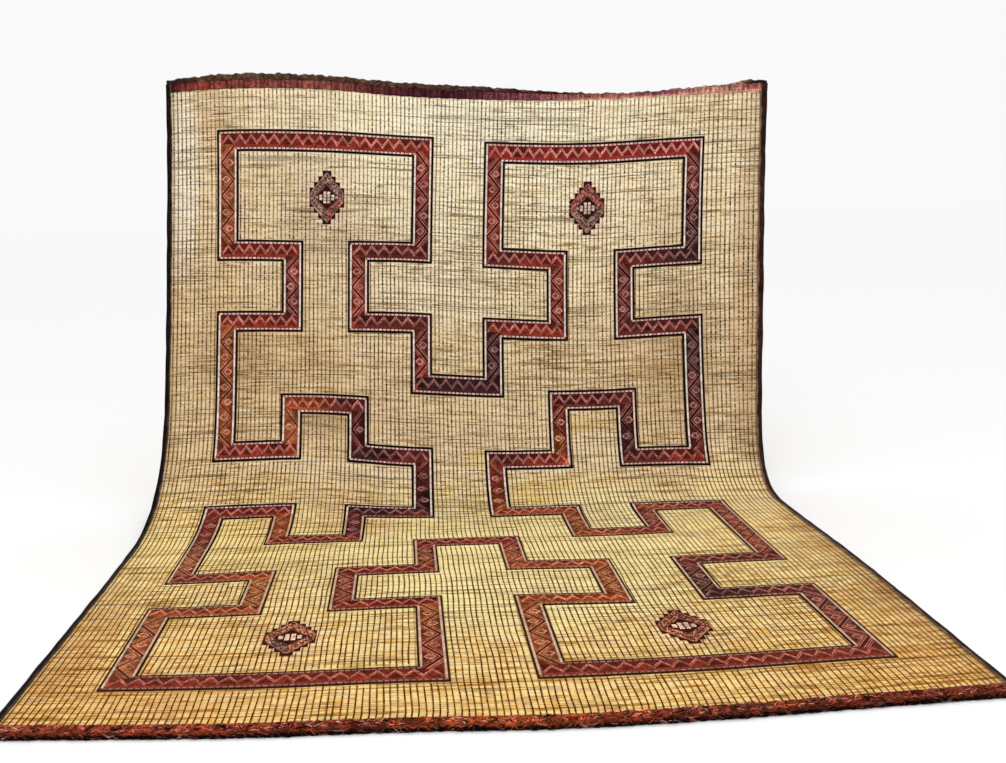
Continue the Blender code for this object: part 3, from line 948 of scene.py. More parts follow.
def make_stitches(look):
    """The thongs on the face: rows of short straps down the rug, each over a few reeds."""
    thongs = visible_thongs()
    grid = np.linspace(0.0, MAT_END, 370)
    sway = wander(len(thongs), grid, ((0.8, 0.0008), (0.3, 0.0004))) * (1 + rise(grid, *TURN))
    fade = wander(len(thongs), grid, ((0.9, 0.20), (0.33, 0.18), (0.12, 0.16)))
    lanes, starts, ends = strap_ends(len(thongs))
    station = ((starts + ends) / 2 / grid[1]).astype(int)
    across = thongs[lanes] + sway[lanes, station]
    bare = ~(under_leather(across, starts + 0.001) | under_leather(across, ends - 0.001))
    lanes, starts, ends, station, across = (v[bare] for v in (lanes, starts, ends, station, across))

    # How bold each strap is, from 0 to 1: fainter near the top and in a calm area by the right side
    middle = (starts + ends) / 2
    laid = rise(middle, *TURN)
    bold = 0.58 + fade[lanes, station] + random.normal(0, 0.16, len(lanes)) + 0.2 * laid
    bold -= 0.28 * rise(middle, 0.6, 0.0)
    bold -= 0.25 * rise(across, 0.7, 1.0) * rise(middle, 2.8, 2.3) * laid
    bold += 0.4 * np.exp(-(((across - 1.12) / 0.16) ** 2) - ((middle - 2.95) / 0.25) ** 2)
    bold = np.clip(bold, 0.0, 1.0)
    width = blend(0.0034 + 0.0026 * bold, 0.0032 + 0.0011 * bold, laid)
    width *= 1 - 0.12 * laid * rise(middle, 2.9, 2.3)
    pale = blend(linear(150, 116, 58), linear(140, 84, 0), laid[:, None])
    dark = blend(linear(64, 41, 8), linear(74, 34, 0), laid[:, None])
    colour = blend(pale, dark, bold[:, None])

    # Each strap is a grid of 4 rows and 3 columns, whose sides and ends sink between the reeds
    along = starts[:, None] + (ends - starts)[:, None] * np.array([0.0, 0.18, 0.82, 1.0])
    line = across[:, None] + thong_shift(across[:, None], along)
    x = line[:, :, None] + np.array([-0.5, 0.0, 0.5]) * width[:, None, None]
    sunk = (2.2 - 1.5 * laid)[:, None, None] * np.array([0.0006, 0.0, 0.0, 0.0006])[:, None]
    points = surface(x, along[:, :, None], STITCH_TOP - sunk - np.array([0.0011, 0.0, 0.0011]))
    for number, chosen in enumerate(np.array_split(np.argsort(middle, kind="stable"), 3)):
        name, count = f"thong_stitches_{number + 1}", len(chosen)
        faces, maps = [many_grids(count, 4, 3)], {"OFBake": bake_squares(count, 4, 3)}
        colours = np.repeat(colour[chosen], 12, axis=0)
        mesh_piece(name, "reed_mat", look, points[chosen], faces, colours, maps)


def make_back_thongs(look):
    """The thongs on the back: straight straps down the rug."""
    thongs = visible_thongs()
    along = np.linspace(MAT_TOP + 0.002, MAT_END - 0.002, 92)
    sway = wander(len(thongs), along, ((0.8, 0.001), (0.3, 0.0005)))
    line = thongs[:, None] + sway + thong_shift(thongs[:, None], along)
    x = line[:, :, None] + np.array([1.0, 0.0, -1.0]) * THONG_HALF
    points = surface(x, along[:, None], -np.array([0.0016, REED_THICKNESS / 2, 0.0016]))
    tone = linear(66, 44, 28) * random.uniform(0.6, 1.3, (len(thongs), 1))
    colours = np.repeat(tone, len(along) * 3, axis=0)
    mesh_piece("thongs_back", "reed_mat", look, points, [many_grids(*x.shape)], colours)


def level_across(name, side):
    """side is 1 to the right of the centre line and -1 to its left."""
    return side * ACROSS_LEVELS[name][0 if side < 0 else 1]


def level_along(name, side, half):
    """half is 1 above the pattern's middle and -1 below it."""
    column = (0 if side < 0 else 2) + (0 if half > 0 else 1)
    return PATTERN_MIDDLE - half * ALONG_LEVELS[name][column]


def meander_outline(inset):
    """The corners of the meander's outline in order, outer with no inset and inner with its width."""
    corners = []
    for side, half in ((-1, 1), (-1, -1), (1, -1), (1, 1)):
        quarter = []
        for across, along, inward, upward in QUARTER_OUTLINE:
            a = level_across(across, side) + side * inward * inset
            b = level_along(along, side, half) - half * upward * inset
            quarter.append((a, b))
        corners += quarter if side * half < 0 else quarter[::-1]
    return corners


def meander_stations():
    """Runs and shares of a run at which the meander's strips are cut, corners included."""
    middle = np.array(meander_outline(BAND_WIDTH / 2))
    stations = []
    for run in range(len(middle)):
        length = np.linalg.norm(middle[(run + 1) % len(middle)] - middle[run])
        pieces = max(2, round(length / 0.022))
        stations += [(run, k / pieces) for k in range(pieces)]
    return stations


def dye_at(run, share, table):
    """The dye of a run, which changes near its middle when its ends differ."""
    start, end = RUN_DYES[run]
    return blend(table[start], table[end], rise(share, 0.3, 0.7))


def make_ring(name, look, profile, colour_of, narrow=(0.0, 0.0)):
    """A closed strip round the whole meander; profile is its section as insets and heights.

    narrow is how much it loses at its least and its greatest inset where the rug lies on the floor.
    """
    insets, heights = np.array(profile).T
    low, high = insets.min(), insets.max()
    slimmer = low + narrow[0] + (insets - low) * (high - low - sum(narrow)) / (high - low)
    stations = meander_stations()
    runs = np.array([run for run, _ in stations])
    shares = np.array([share for _, share in stations])[:, None, None]

    def sections(at):
        """The places of the section at each station, for lines with those insets."""
        corners = np.array([meander_outline(inset) for inset in at]).swapaxes(0, 1)
        return blend(corners[runs], corners[(runs + 1) % len(corners)], shares)

    hanging = sections(insets)
    places = blend(hanging, sections(slimmer), rise(hanging[:, :1, 1:], 1.9, 2.3))
    colours = np.repeat([colour_of(run, share) for run, share in stations], len(profile), axis=0)
    faces = [tube_faces(len(stations), len(profile), True)]
    piece = mesh_piece(name, "meander_band", look, over(places, heights), faces, colours, smooth=False)
    recalculate_outside(piece)
    return piece


def make_meander(leather, edging, white):
    """The band of leather, its black and white edgings and its ornament."""
    profile = (
        (0.002, LEATHER_BOTTOM),
        (0.002, LEATHER_TOP - 0.0003),
        (0.022, LEATHER_TOP - 0.0001),
        (BAND_WIDTH / 2, LEATHER_TOP + 0.0001),
        (BAND_WIDTH - 0.022, LEATHER_TOP - 0.0001),
        (BAND_WIDTH - 0.002, LEATHER_TOP - 0.0003),
        (BAND_WIDTH - 0.002, LEATHER_BOTTOM),
        (BAND_WIDTH / 2, LEATHER_BOTTOM),
    )
    base = make_ring(
        "meander_leather", leather, profile, lambda run, share: dye_at(run, share, DYES), (0.0025, 0.0025)
    )
    corners = meander_outline(0.0)

    def black(run, share):
        """Black, and browner on the runs that lie on the floor."""
        return linear(54, 32, 20) if corners[run][1] > FLOOR_PART else linear(26, 16, 13)

    foot, shoulder = LEATHER_BOTTOM - 0.0008, EDGING_TOP - 0.0006
    for name, start, narrow in (
        ("outer", 0.0, (0.0035, 0.0)),
        ("inner", BAND_WIDTH - BLACK_EDGING, (0.0, 0.0035)),
    ):
        end = start + BLACK_EDGING
        middle = ((start + 0.0006, shoulder), ((start + end) / 2, EDGING_TOP), (end - 0.0006, shoulder))
        make_ring(f"meander_black_{name}", edging, ((start, foot), *middle, (end, foot)), black, narrow)
    make_white_edging(white)
    make_meander_ornament(leather)
    middle = meander_outline(BAND_WIDTH / 2)
    length = sum(math.dist(a, b) for a, b in zip(middle, middle[1:] + middle[:1]))


def run_line(run, inset):
    """The start and end of a straight run of the meander, at a distance in from its outline."""
    corners = meander_outline(inset)
    return np.array(corners[run]), np.array(corners[(run + 1) % len(corners)])


def make_white_edging(look):
    """White strips inside the black edging: beads between the thongs across, long stitches down."""
    strips = ((WHITE_START, WHITE_END), (BAND_WIDTH - WHITE_END, BAND_WIDTH - WHITE_START))
    top = LEATHER_TOP + 0.0003
    for name, (near, far) in zip(("outer", "inner"), strips):
        profile = ((near, LEATHER_BOTTOM), (near + 0.0003, top), (far - 0.0003, top), (far, LEATHER_BOTTOM))
        make_ring(f"meander_seam_{name}", look, profile, lambda run, share: linear(96, 46, 36))
    pile = Pile(4, 4)
    for run in range(len(RUN_DYES)):
        for near, far in strips:
            (xa, ya), (xb, yb) = run_line(run, near)
            (xc, yc), (xd, yd) = run_line(run, far)
            if abs(ya - yb) < 1e-6:
                white_beads(pile, min(xa, xb, xc, xd), max(xa, xb, xc, xd), min(ya, yc), max(ya, yc))
            else:
                first, last = max(min(ya, yb), min(yc, yd)), min(max(ya, yb), max(yc, yd))
                white_stitches(pile, min(xa, xc), max(xa, xc), first, last)
    pile.piece("meander_white", "meander_band", look, smooth=False)


def white_beads(pile, left_end, right_end, low, high):
    """Beads across the rug, one between each two thongs, duller on the floor."""
    cream, pink = linear(236, 220, 208), linear(226, 190, 186)
    for left, right in zip(THONGS[:-1] + THONG_HALF, THONGS[1:] - THONG_HALF):
        left, right = max(left_end, left), min(right_end, right)
        if right - left > 0.003:
            tint = (cream if random.uniform() < 0.5 else pink) * random.uniform(0.62, 0.96)
            if low > FRONT_PART:
                tint = tint * (0.50, 0.32, 0.25)
            elif low > FLOOR_PART:
                tint = tint * (0.66, 0.50, 0.38)
            pad(pile, (left, low), (right, high), WHITE_BOTTOM, WHITE_TOP, 0.0012, tint)


def white_stitches(pile, left, right, at, last):
    """Long stitches down the rug, duller on the floor."""
    cream, grey = linear(236, 220, 208), linear(214, 204, 192)
    while at < last - 0.004:
        end = min(at + random.uniform(0.026, 0.042), last)
        tint = (cream if random.uniform() < 0.6 else grey) * random.uniform(0.86, 1.03)
        if at > FLOOR_PART:
            tint = tint * (0.82, 0.66, 0.52)
        pad(pile, (left, at), (right, end), WHITE_BOTTOM, WHITE_TOP, 0.0009, tint)
        at = end + 0.0006


def make_meander_ornament(look):
    """Zigzags across, and a broad dark zigzag with small lozenges down the rug."""
    lines, shapes = Pile(5, 3), Pile(4, 3)
    for run in range(len(RUN_DYES)):
        start, end = run_line(run, BAND_WIDTH / 2)
        length = np.linalg.norm(end - start)
        way = (end - start) / length
        inner = sum(run_line(run, BAND_WIDTH)) - sum(run_line(run, 0.0))
        inner -= way * (inner @ way)
        aside = inner / np.linalg.norm(inner)
        warmth = floor_warmth(start[1])

        def spot(at, off):
            """The place at a distance along the run and a distance off its middle line."""
            return start + way * at + aside * off

        def tint(at, table):
            """The run's dye at a distance along it."""
            return dye_at(run, at / length, table) * warmth

        if abs(way[1]) < 0.5:
            down = 1.0 if aside[1] > 0 else -1.0
            zigzag_run(lines, shapes, spot, tint, length, down, start[1] > FRONT_PART)
        else:
            lozenge_run(lines, shapes, spot, tint, length)
    lines.piece("meander_lines", "meander_band", look)
    shapes.piece("meander_shapes", "meander_band", look)


def zigzag_run(lines, shapes, spot, tint, length, down, front):
    """A double salmon zigzag with dark triangles above it, duller on the runs at the front end.

    down is the way to the front in spot's offsets.
    """
    past = 0.022
    teeth = max(2, round((length + 2 * past) / ZIGZAG_PITCH))
    at = np.linspace(-past, length + past, 2 * teeth + 1)
    half = at[1] - at[0]
    middle, swing, shift = -0.0046, 0.0158, 0.0055
    pale = 0.78 if front else 1.0
    for k in range(2 * teeth):
        wobble = random.uniform(-0.0012, 0.0012, 2)
        reach = swing if k % 2 == 0 else -swing
        colour = tint((at[k] + at[k + 1]) / 2, PALE_DYES) * pale
        for apart in (-shift, shift):
            start = spot(at[k] + wobble[0], down * (middle + reach + apart))
            end = spot(at[k + 1] + wobble[1], down * (middle - reach + apart))
            width = random.uniform(0.0048, 0.0066)
            ribbon(lines, start, end, width, LINE_BOTTOM, ORNAMENT_TOP, colour * random.uniform(0.5, 1.15))

    # Dark triangles above and below the zigzag, as rows of an offset and half a width
    top = MIDDLE_START - BAND_WIDTH / 2 + 0.0004
    peak, trough = middle - swing, middle + swing
    above = ((top, half), (peak - shift, half), (middle - shift, half / 2), (trough - shift, 0.0005))
    below = (
        (peak + shift, 0.0005),
        (middle + shift, half / 2),
        (trough, half * 0.9),
        (trough + shift, half * 0.9),
    )
    for k in range(2 * teeth + 1):
        upper = k % 2 == 0
        colour = tint(at[k], DARK_DYES) * (random.uniform(0.6, 1.4) if upper else random.uniform(0.7, 2.0))
        rows = []
        for off, wide in above if upper else below:
            low, high = np.clip((at[k] - wide, at[k] + wide), -past - 0.005, length + past + 0.005)
            rows.append((low, high, down * off))
        patch(shapes, spot, rows, LEATHER_TOP + 0.00045, colour)


def lozenge_run(lines, shapes, spot, tint, length):
    """A broad dark zigzag between salmon lines, and a salmon lozenge in each of its triangles."""
    past = 0.024
    turns = max(2, round((length - 2 * past) / LOZENGE_PITCH))
    at = np.linspace(past, length - past, turns + 1)
    pitch = at[1] - at[0]
    reach = BAND_WIDTH / 2 - MIDDLE_START
    side = np.where(np.arange(turns + 1) % 2 == 0, 1.0, -1.0)
    for k in range(turns):
        a, b = np.array([at[k], side[k] * reach]), np.array([at[k + 1], side[k + 1] * reach])
        way = (b - a) / np.linalg.norm(b - a)
        dark, pale = (tint((at[k] + at[k + 1]) / 2, table) for table in (DARK_DYES, PALE_DYES))
        ribbon(lines, spot(*a), spot(*b), 0.0078, LINE_BOTTOM, ORNAMENT_TOP + 0.0001, dark * 0.35)
        for off, width, low, high in LOZENGE_LINES:
            for sign in (-1, 1):
                beside = a + sign * off * np.array([-way[1], way[0]])
                p, q = clipped(beside, way, at[k], at[k + 1], reach)
                colour = pale * random.uniform(low, high)
                ribbon(lines, spot(*p), spot(*q), width, LINE_BOTTOM, ORNAMENT_TOP, colour)

    # The ground of the triangles
    for k in range(turns + 1):
        low, high = max(at[k] - pitch, past), min(at[k] + pitch, length - past)
        rows = []
        for share in (0.0, 0.35, 0.7, 1.0):
            near, far = blend(at[k], low, share) - 0.0002, blend(at[k], high, share) + 0.0002
            rows.append((near, far, side[k] * reach * (1 - 2 * share)))
        patch(shapes, spot, rows, LEATHER_TOP + 0.0004, tint(at[k], DYES) * random.uniform(0.25, 0.75))

    # The lozenges, each in five layers from the widest up
    for k in range(1, turns):
        centre = -side[k] * 0.0075
        grow = random.uniform(0.88, 1.05)
        dark, pale = tint(at[k], DARK_DYES), tint(at[k], PALE_DYES)
        for size, lift, colour in (
            (0.0235, 0.0009, dark * 0.6),
            (0.0212, 0.0011, pale * random.uniform(0.7, 1.05)),
            (0.0142, 0.0013, dark * 1.1),
            (0.0096, 0.0015, pale * random.uniform(0.35, 0.7)),
            (0.0050, 0.0017, dark * 0.25),
        ):
            rows = []
            for share in (-1.0, -0.33, 0.33, 1.0):
                wide = size * grow * (1 - abs(share)) + 0.0002
                rows.append((at[k] - wide, at[k] + wide, centre + share * size * grow * 0.88))
            patch(shapes, spot, rows, LEATHER_TOP + lift, colour)


def patch(pile, spot, rows, height, colour):
    """A flat patch as one grid of the pile, from rows of a start and end along a run and an offset."""
    places = [[spot(x, off) for x in (low, (low + high) / 2, high)] for low, high, off in rows]
    pile.add(over(places, height), colour)


def clipped(point, way, low, high, reach):
    """The part of a line that lies between two stations and within reach of the band's middle."""
    t = sorted([(low - point[0]) / way[0], (high - point[0]) / way[0]])
    u = sorted([(-reach - point[1]) / way[1], (reach - point[1]) / way[1]])
    return point + way * max(t[0], u[0]), point + way * min(t[1], u[1])


def floor_warmth(along):
    """What warm light leaves of a colour on the floor, and all of it where the rug hangs."""
    return np.array((1.04, 1.0, 0.84)) if along > FLOOR_PART else np.ones(3)


def make_medallion(name, across, along, arms, ground_look, look):
    """A black stepped ground with four plaited arms round a dark lozenge of cream cells."""
    black = linear(46, 20, 18) if along < FLOOR_PART else linear(58, 24, 18)
    ground = stepped_plate(name, across, along, black, ground_look)

    bands, dots = Pile(12, 3), Pile(4, 4)
    place = np.array([across, along])
    outer, inner = np.array(ARMS_OUTER), np.array(ARMS_INNER)
    for k, arm in enumerate((0, 0, 2, 3, 1, 1)):
        after = (k + 1) % 6
        corners = outer[k], outer[after], inner[k], inner[after]
        plait_arm(bands, dots, place, corners, DYES[arms[arm]], black, 4 if k in (1, 4) else 13)
    cream_cells(dots, place)
    bands.piece(f"{name}_arms", name, look)
    dots.piece(f"{name}_cells", name, look)


def plait_arm(bands, dots, place, corners, dye, black, in_row):
    """One side of a medallion's arms: plaits side by side, with rows of small dots between them."""
    a, b, c, d = corners

    def spot(share, t):
        """The place at a share of the way inwards, and at t along that line."""
        return place + blend(blend(a, c, share), blend(b, d, share), t)

    for share, width, pale in ARM_PLAITS:
        line = spot(share, np.linspace(0, 1, 12)[:, None])
        way = (line[-1] - line[0]) / np.linalg.norm(line[-1] - line[0])
        aside = np.array([-way[1], way[0]]) * width / 2
        bend = random.uniform(-0.16, 0.16, (12, 1, 1))
        places = line[:, None, :] + (np.array([1.0, 0.0, -1.0])[:, None] + bend) * aside
        tone = dye * pale * random.uniform(0.35, 1.5, (12, 3, 1)) * floor_warmth(place[1])
        bands.add(over(places, LEATHER_TOP + np.array([0.0002, 0.0012, 0.0002])), tone)
    for share in (0.22, 0.48, 0.74):
        for t in np.linspace(0.05, 0.95, in_row):
            middle = spot(share, t) + random.uniform(-0.0012, 0.0012, 2)
            half = random.uniform(0.0016, 0.0030)
            shade = black * 0.7 if random.uniform() < 0.62 else dye * 2.4
            low, high = middle - half, middle + half
            pad(dots, low, high, LEATHER_TOP + 0.0004, LEATHER_TOP + 0.0018, half * 0.4, shade)


def cream_cells(dots, place):
    """Columns of pale cells in a medallion's middle."""
    cream = linear(226, 196, 178) * floor_warmth(place[1])
    front = place[1] > PATTERN_MIDDLE
    pitch = 0.0188 if front else 0.0178
    for column, tall in FRONT_CELLS if front else TOP_CELLS:
        left, right = (column - 1) * pitch + 0.0022, column * pitch - 0.0022
        rows = round(tall / 0.0130)
        for row in range(rows):
            low = place + (left, tall * (row / rows - 0.5))
            high = place + (right, tall * ((row + 1) / rows - 0.5) - 0.0011)
            shade = cream * random.uniform(0.78, 1.0) * (0.55 if tall < 0.02 else 1.0)
            pad(dots, low, high, LEATHER_TOP - 0.0004, LEATHER_TOP + 0.0014, 0.0014, shade)


def stepped_plate(name, across, along, colour, look):
    """A medallion's ground: one stepped plate whose rim turns down to the reeds."""
    rim = 0.0015

    def cuts(reaches):
        """Lines on both sides of the middle, at each reach and a rim's width within it."""
        return np.array(sorted({sign * (r - less) for r in reaches for sign in (-1, 1) for less in (0, rim)}))

    steps = [(count * MEDALLION_STEP, reach) for count, reach in MEDALLION_STEPS]
    x, y = (cuts(reaches) for reaches in zip(*steps))
    middle_x, middle_y = (x[1:] + x[:-1]) / 2, (y[1:] + y[:-1]) / 2
    kept = np.zeros((len(y) - 1, len(x) - 1), bool)
    for wide, tall in steps:
        kept |= (np.abs(middle_x)[None, :] < wide) & (np.abs(middle_y)[:, None] < tall)
    ringed = np.pad(kept, 1)
    raised = ringed[1:, 1:] & ringed[1:, :-1] & ringed[:-1, 1:] & ringed[:-1, :-1]
    used, faces = np.unique(grid_faces(len(y), len(x))[kept.ravel()], return_inverse=True)
    height = np.where(raised, LEATHER_TOP - 0.0001, REED_VALLEY)
    points = surface(across + x[None, :], along + y[:, None], height).reshape(-1, 3)[used]
    colours = np.broadcast_to(colour, (len(used), 3))
    return mesh_piece(f"{name}_ground", name, look, points, [faces.reshape(-1, 4)], colours, smooth=False)


# The bindings: node, edge across, the way outwards, width, dye, and the paler dye of the flap's inner strip,
# partly worn leather and partly a painted highlight
BINDING_LEFT = ("binding_left", EDGE_LEFT, -1.0, BINDING_LEFT_WIDTH, (24, 16, 15), (80, 64, 56))
BINDING_RIGHT = ("binding_right", EDGE_RIGHT, 1.0, BINDING_RIGHT_WIDTH, (46, 28, 20), (120, 92, 74))
# Along them: place along, then the share of the flap that is paler, partly worn and partly painted highlight,
# left and right, and how much of its width the flap keeps, left and right
BINDING_WEAR_AND_HIGHLIGHT = (
    (0.0, 0.22, 0.30, 1.0, 1.25),
    (0.3, 0.22, 0.30, 1.0, 1.0),
    (1.0, 0.25, 0.30, 1.0, 1.0),
    (1.9, 0.35, 0.40, 1.0, 1.0),
    (2.6, 0.35, 0.45, 0.9, 0.85),
    (3.2, 0.30, 0.45, 0.95, 0.85),
    (3.68, 0.30, 0.40, 1.0, 0.9),
)


def make_binding(name, edge, side, width, dye, worn_and_highlight_dye, paler_share, kept, look):
    """Leather folded over one side, puckered along its inner edge.

    The last two arguments are its columns of the binding table: the paler share of the flap, and how much of
    its width the flap keeps.
    """
    places = [row[0] for row in BINDING_WEAR_AND_HIGHLIGHT]
    along = np.linspace(MAT_TOP, MAT_END, 260)
    flap = (REED_THICKNESS + LEATHER_THICKNESS) / 2 + GAP
    inner = [(-width * share, flap) for share in (1.0, 0.85, 0.7, 0.55, 0.4, 0.2)]
    fold = [(flap * math.cos(a), flap * math.sin(a)) for a in np.radians((90, 60, 30, 0, -30, -60, -90))]
    under = [(-width * share, -flap) for share in (0.33, 0.66, 1.0)]
    out, up = np.array(inner + fold + under).T
    pucker = wander(len(out), along, ((0.11, 0.00035), (0.045, 0.00025), (0.4, 0.0004)))
    drift = wander(1, along, ((0.33, 0.0012), (0.12, 0.0008)))[0]
    bulge = 0.5 * np.abs(wander(1, along, ((0.47, 0.0034), (0.19, 0.0014)))[0])
    shrink = np.interp(along, places, kept)[:, None]
    x = out * np.where(out < -0.001, shrink, 1.0)
    x = x + drift[:, None] * (out < -width * 0.7) + bulge[:, None] * (out > -width * 0.3)
    points = surface(edge + side * x, along[:, None], up + np.abs(pucker.T) * (up > 0))
    faces = grid_faces(len(along), len(out))
    if side < 0:
        faces = faces[:, ::-1]

    tone = np.clip(1.0 + wander(1, along, ((0.5, 0.2), (0.16, 0.2), (0.05, 0.15)))[0], 0.5, 1.7)
    reach = np.interp(along, places, paler_share) * (1 + wander(1, along, ((0.2, 0.2), (0.07, 0.2)))[0])
    # The paler inner strip of the flap's face: partly worn leather, partly a painted highlight along its
    # puckered edge
    worn = rise(reach[:, None] - (1 + out / width), 0.0, 0.15) * (up > 0)
    colours = blend(linear(*dye) * tone[:, None, None], linear(*worn_and_highlight_dye), worn[..., None])
    piece = mesh_piece(f"{name}_leather", name, look, points, [faces], colours)
    thicken(piece)


def thicken(piece):
    """Gives a sheet of leather its thickness, half to each side."""
    solid = piece.modifiers.new("thickness", "SOLIDIFY")
    solid.thickness = LEATHER_THICKNESS
    solid.offset = 0


# Colours along the top band: place across, and red, green and blue of the photo's kind
TOP_DYES = (
    (-1.30, 40, 22, 22),
    (-1.18, 124, 54, 46),
    (-0.95, 112, 56, 50),
    (-0.62, 128, 69, 60),
    (-0.36, 82, 36, 38),
    (-0.05, 56, 22, 32),
    (0.25, 112, 58, 65),
    (0.72, 162, 103, 90),
    (0.90, 128, 74, 85),
    (1.12, 188, 136, 115),
    (1.34, 140, 74, 72),
)
# Colours along the front band
FRONT_DYES = (
    (-1.30, 140, 59, 40),
    (-0.78, 150, 65, 43),
    (-0.30, 112, 46, 30),
    (-0.05, 180, 85, 46),
    (0.22, 149, 62, 34),
    (0.45, 114, 49, 36),
    (0.62, 120, 55, 37),
    (0.85, 112, 43, 28),
    (1.34, 120, 53, 32),
)
# Colours along the top roll
TOP_ROLL_DYES = (
    (-1.30, 34, 24, 24),
    (-1.18, 84, 60, 48),
    (-0.40, 84, 60, 50),
    (0.10, 72, 48, 44),
    (0.45, 66, 26, 30),
    (0.66, 146, 90, 74),
    (0.88, 114, 64, 80),
    (0.97, 172, 106, 92),
    (1.22, 178, 112, 94),
    (1.28, 27, 23, 25),
)
# Colours along the front roll: near-black, partly dark leather and partly painted shade on its underside
FRONT_ROLL_DYES_AND_SHADE = ((-1.30, 17, 8, 7), (1.34, 18, 8, 6))


def table_colour(table, x):
    """The colour at places x, from rows of a place, red, green and blue."""
    places, *channels = np.array(table).T
    return np.stack([np.interp(x, places, channel) for channel in linear(*channels)], axis=-1)


def make_end_bands(look):
    """Red leather across both ends, gathered between the thongs."""
    first = EDGE_LEFT + BINDING_LEFT_WIDTH + GAP
    last = EDGE_RIGHT - BINDING_RIGHT_WIDTH - GAP
    across = np.append(np.arange(first, last, 0.0045), last)
    gather = np.cos(2 * math.pi * np.interp(across, THONGS, np.arange(len(THONGS))))
    for name, start, end, table, rough in (
        ("end_band_top", MAT_TOP, TOP_BAND_END, TOP_DYES, 0.0004),
        ("end_band_front", FRONT_BAND_START, MAT_END, FRONT_DYES, 0.0008),
    ):
        top = name == "end_band_top"
        along = np.linspace(start, end, 7)[:, None]
        ragged = wander(1, across, ((0.05, 0.0010), (0.021, 0.0006)))[0] * rough / 0.0004
        lumps = wander(len(along), across, ((0.06, 0.5), (0.027, 0.5)), rough)
        y = along + ragged * (along == (end if top else start))
        if top:
            y = y - 0.0014 * (along == start)
        height = (REED_THICKNESS + LEATHER_THICKNESS) / 2 + GAP + 0.0004 + np.abs(lumps) - 0.00035 * gather
        streak = 1.0 + wander(1, across, ((0.09, 0.22), (0.031, 0.28)))[0] - 0.30 * gather
        flecks = random.uniform(0.65, 1.35, (len(along), len(across)))
        colours = table_colour(table, across) * (np.clip(streak, 0.45, 1.6) * flecks)[..., None]
        if top:
            right = rise(across, 0.4, 0.6)[:, None]
            colours[-2:] = blend(colours[-2:], linear(222, 142, 132), 0.8 * right)
            colours[:3] *= 1.0 - 0.25 * right
        faces = [grid_faces(len(along), len(across))]
        piece = mesh_piece(f"{name}_leather", name, look, surface(across, y, height), faces, colours)
        thicken(piece)


def make_roll(name, table, dyes, end, outward, on_floor, look):
    """Thong ends rolled together: a lumpy core, with frayed ends wound loosely round it."""
    places, radii = zip(*table)

    def core(across, bump):
        """The middle of the core and its radius at places across."""
        radius = weights(across, places) @ np.array(radii) * (1.05 + bump)
        middle = surface(across, end + outward * radius * 0.88, 0.0)
        if on_floor:
            middle[..., 2] = FLOOR + radius
        return middle, radius

    across = np.linspace(EDGE_LEFT, EDGE_RIGHT, 620)
    bump = wander(1, across, ((0.13, 0.07), (0.07, 0.05), (0.033, 0.06)))[0]
    if not on_floor:
        bump = bump * np.interp(across, (0.4, 0.6, 1.1, 1.2), (1.0, 4.0, 4.0, 1.5)) - 0.10
    middle, radius = core(across, bump)
    angle = np.linspace(0, 2 * math.pi, ROLL_SIDES, endpoint=False)
    ring = np.stack([np.zeros_like(angle), np.cos(angle), np.sin(angle)], axis=-1)
    rough = 1 + wander(ROLL_SIDES, across, ((0.05, 0.10), (0.021, 0.10))).T
    tube = middle[:, None, :] + ring[None] * (radius[:, None] * rough)[..., None]
    if on_floor:
        tube[..., 2] = np.maximum(tube[..., 2], FLOOR + 0.0002)
    cap = np.arange(ROLL_SIDES)
    caps = np.array([cap, cap[::-1] + (len(across) - 1) * ROLL_SIDES])
    faces = [tube_faces(len(across), ROLL_SIDES, False), caps]
    shade = 1 + wander(ROLL_SIDES, across, ((0.11, 0.22), (0.04, 0.22), (0.017, 0.2))).T
    colours = table_colour(dyes, across)[:, None, :] * np.clip(shade, 0.35, 1.9)[..., None]
    # On the floor the core takes the band's red, dimmed, over its top, and stays near-black below: partly
    # painted shade on its underside
    if on_floor:
        red = table_colour(FRONT_DYES, across)[:, None, :] * 0.40
        colours = blend(colours, red, rise(np.sin(angle), 0.45, 0.75)[:, None])
    recalculate_outside(mesh_piece(f"{name}_core", name, look, tube, faces, colours))
    wind_wisps(name, look, dyes, lambda at: core(at, np.interp(at, across, bump)), on_floor)


def wind_wisps(name, look, dyes, core, on_floor):
    """Frayed ends wound loosely round a roll; core gives its middle and radius at places across."""
    wisps = Pile(7, 3)
    t = np.linspace(-0.5, 0.5, 7)
    for _ in range(ROLL_WISPS):
        centre = random.uniform(EDGE_LEFT + 0.02, EDGE_RIGHT - 0.02)
        length = random.uniform(0.012, 0.040)
        at = np.clip(centre + t * length, EDGE_LEFT, EDGE_RIGHT)
        spot, size = core(at)
        turn = random.uniform(-0.35, math.pi * 0.95) if on_floor else random.uniform(0, 2 * math.pi)
        turn = turn + t * random.uniform(-2.6, 2.6) + random.uniform(-0.5, 0.5) * np.cos(2 * math.pi * t)
        lift = size * 1.03 + random.uniform(0.0, 0.0030 if on_floor else 0.0016) * np.cos(math.pi * t) ** 2
        width = random.uniform(0.0012, 0.0024) / np.maximum(size, 0.004)
        bend = turn[:, None] + np.array([-0.5, 0.0, 0.5]) * width[:, None]
        high = lift[:, None] + np.array([0.0, 0.0005, 0.0])
        points = spot[:, None, :] + outwards(bend) * high[..., None]
        if on_floor:
            points[..., 2] = np.maximum(points[..., 2], FLOOR + 0.0003)
        shade = random.choice([0.3, 0.6, 1.1, 2.2, 4.2], p=[0.28, 0.26, 0.22, 0.15, 0.09])
        dye = table_colour(dyes, centre) * shade
        # On the floor, wisps over the roll's top take the band's red, the rest the roll's near-black, partly
        # painted shade
        if on_floor and turn[3] > 0.75:
            dye = table_colour(FRONT_DYES, centre) * random.uniform(0.15, 1.35)
        elif on_floor and random.uniform() < 0.14:
            dye = linear(*((128, 104, 98), (116, 44, 44), (96, 62, 54))[random.integers(3)])
        wisps.add(points, np.minimum(dye, 0.6))
    wisps.piece(f"{name}_wisps", name, look)


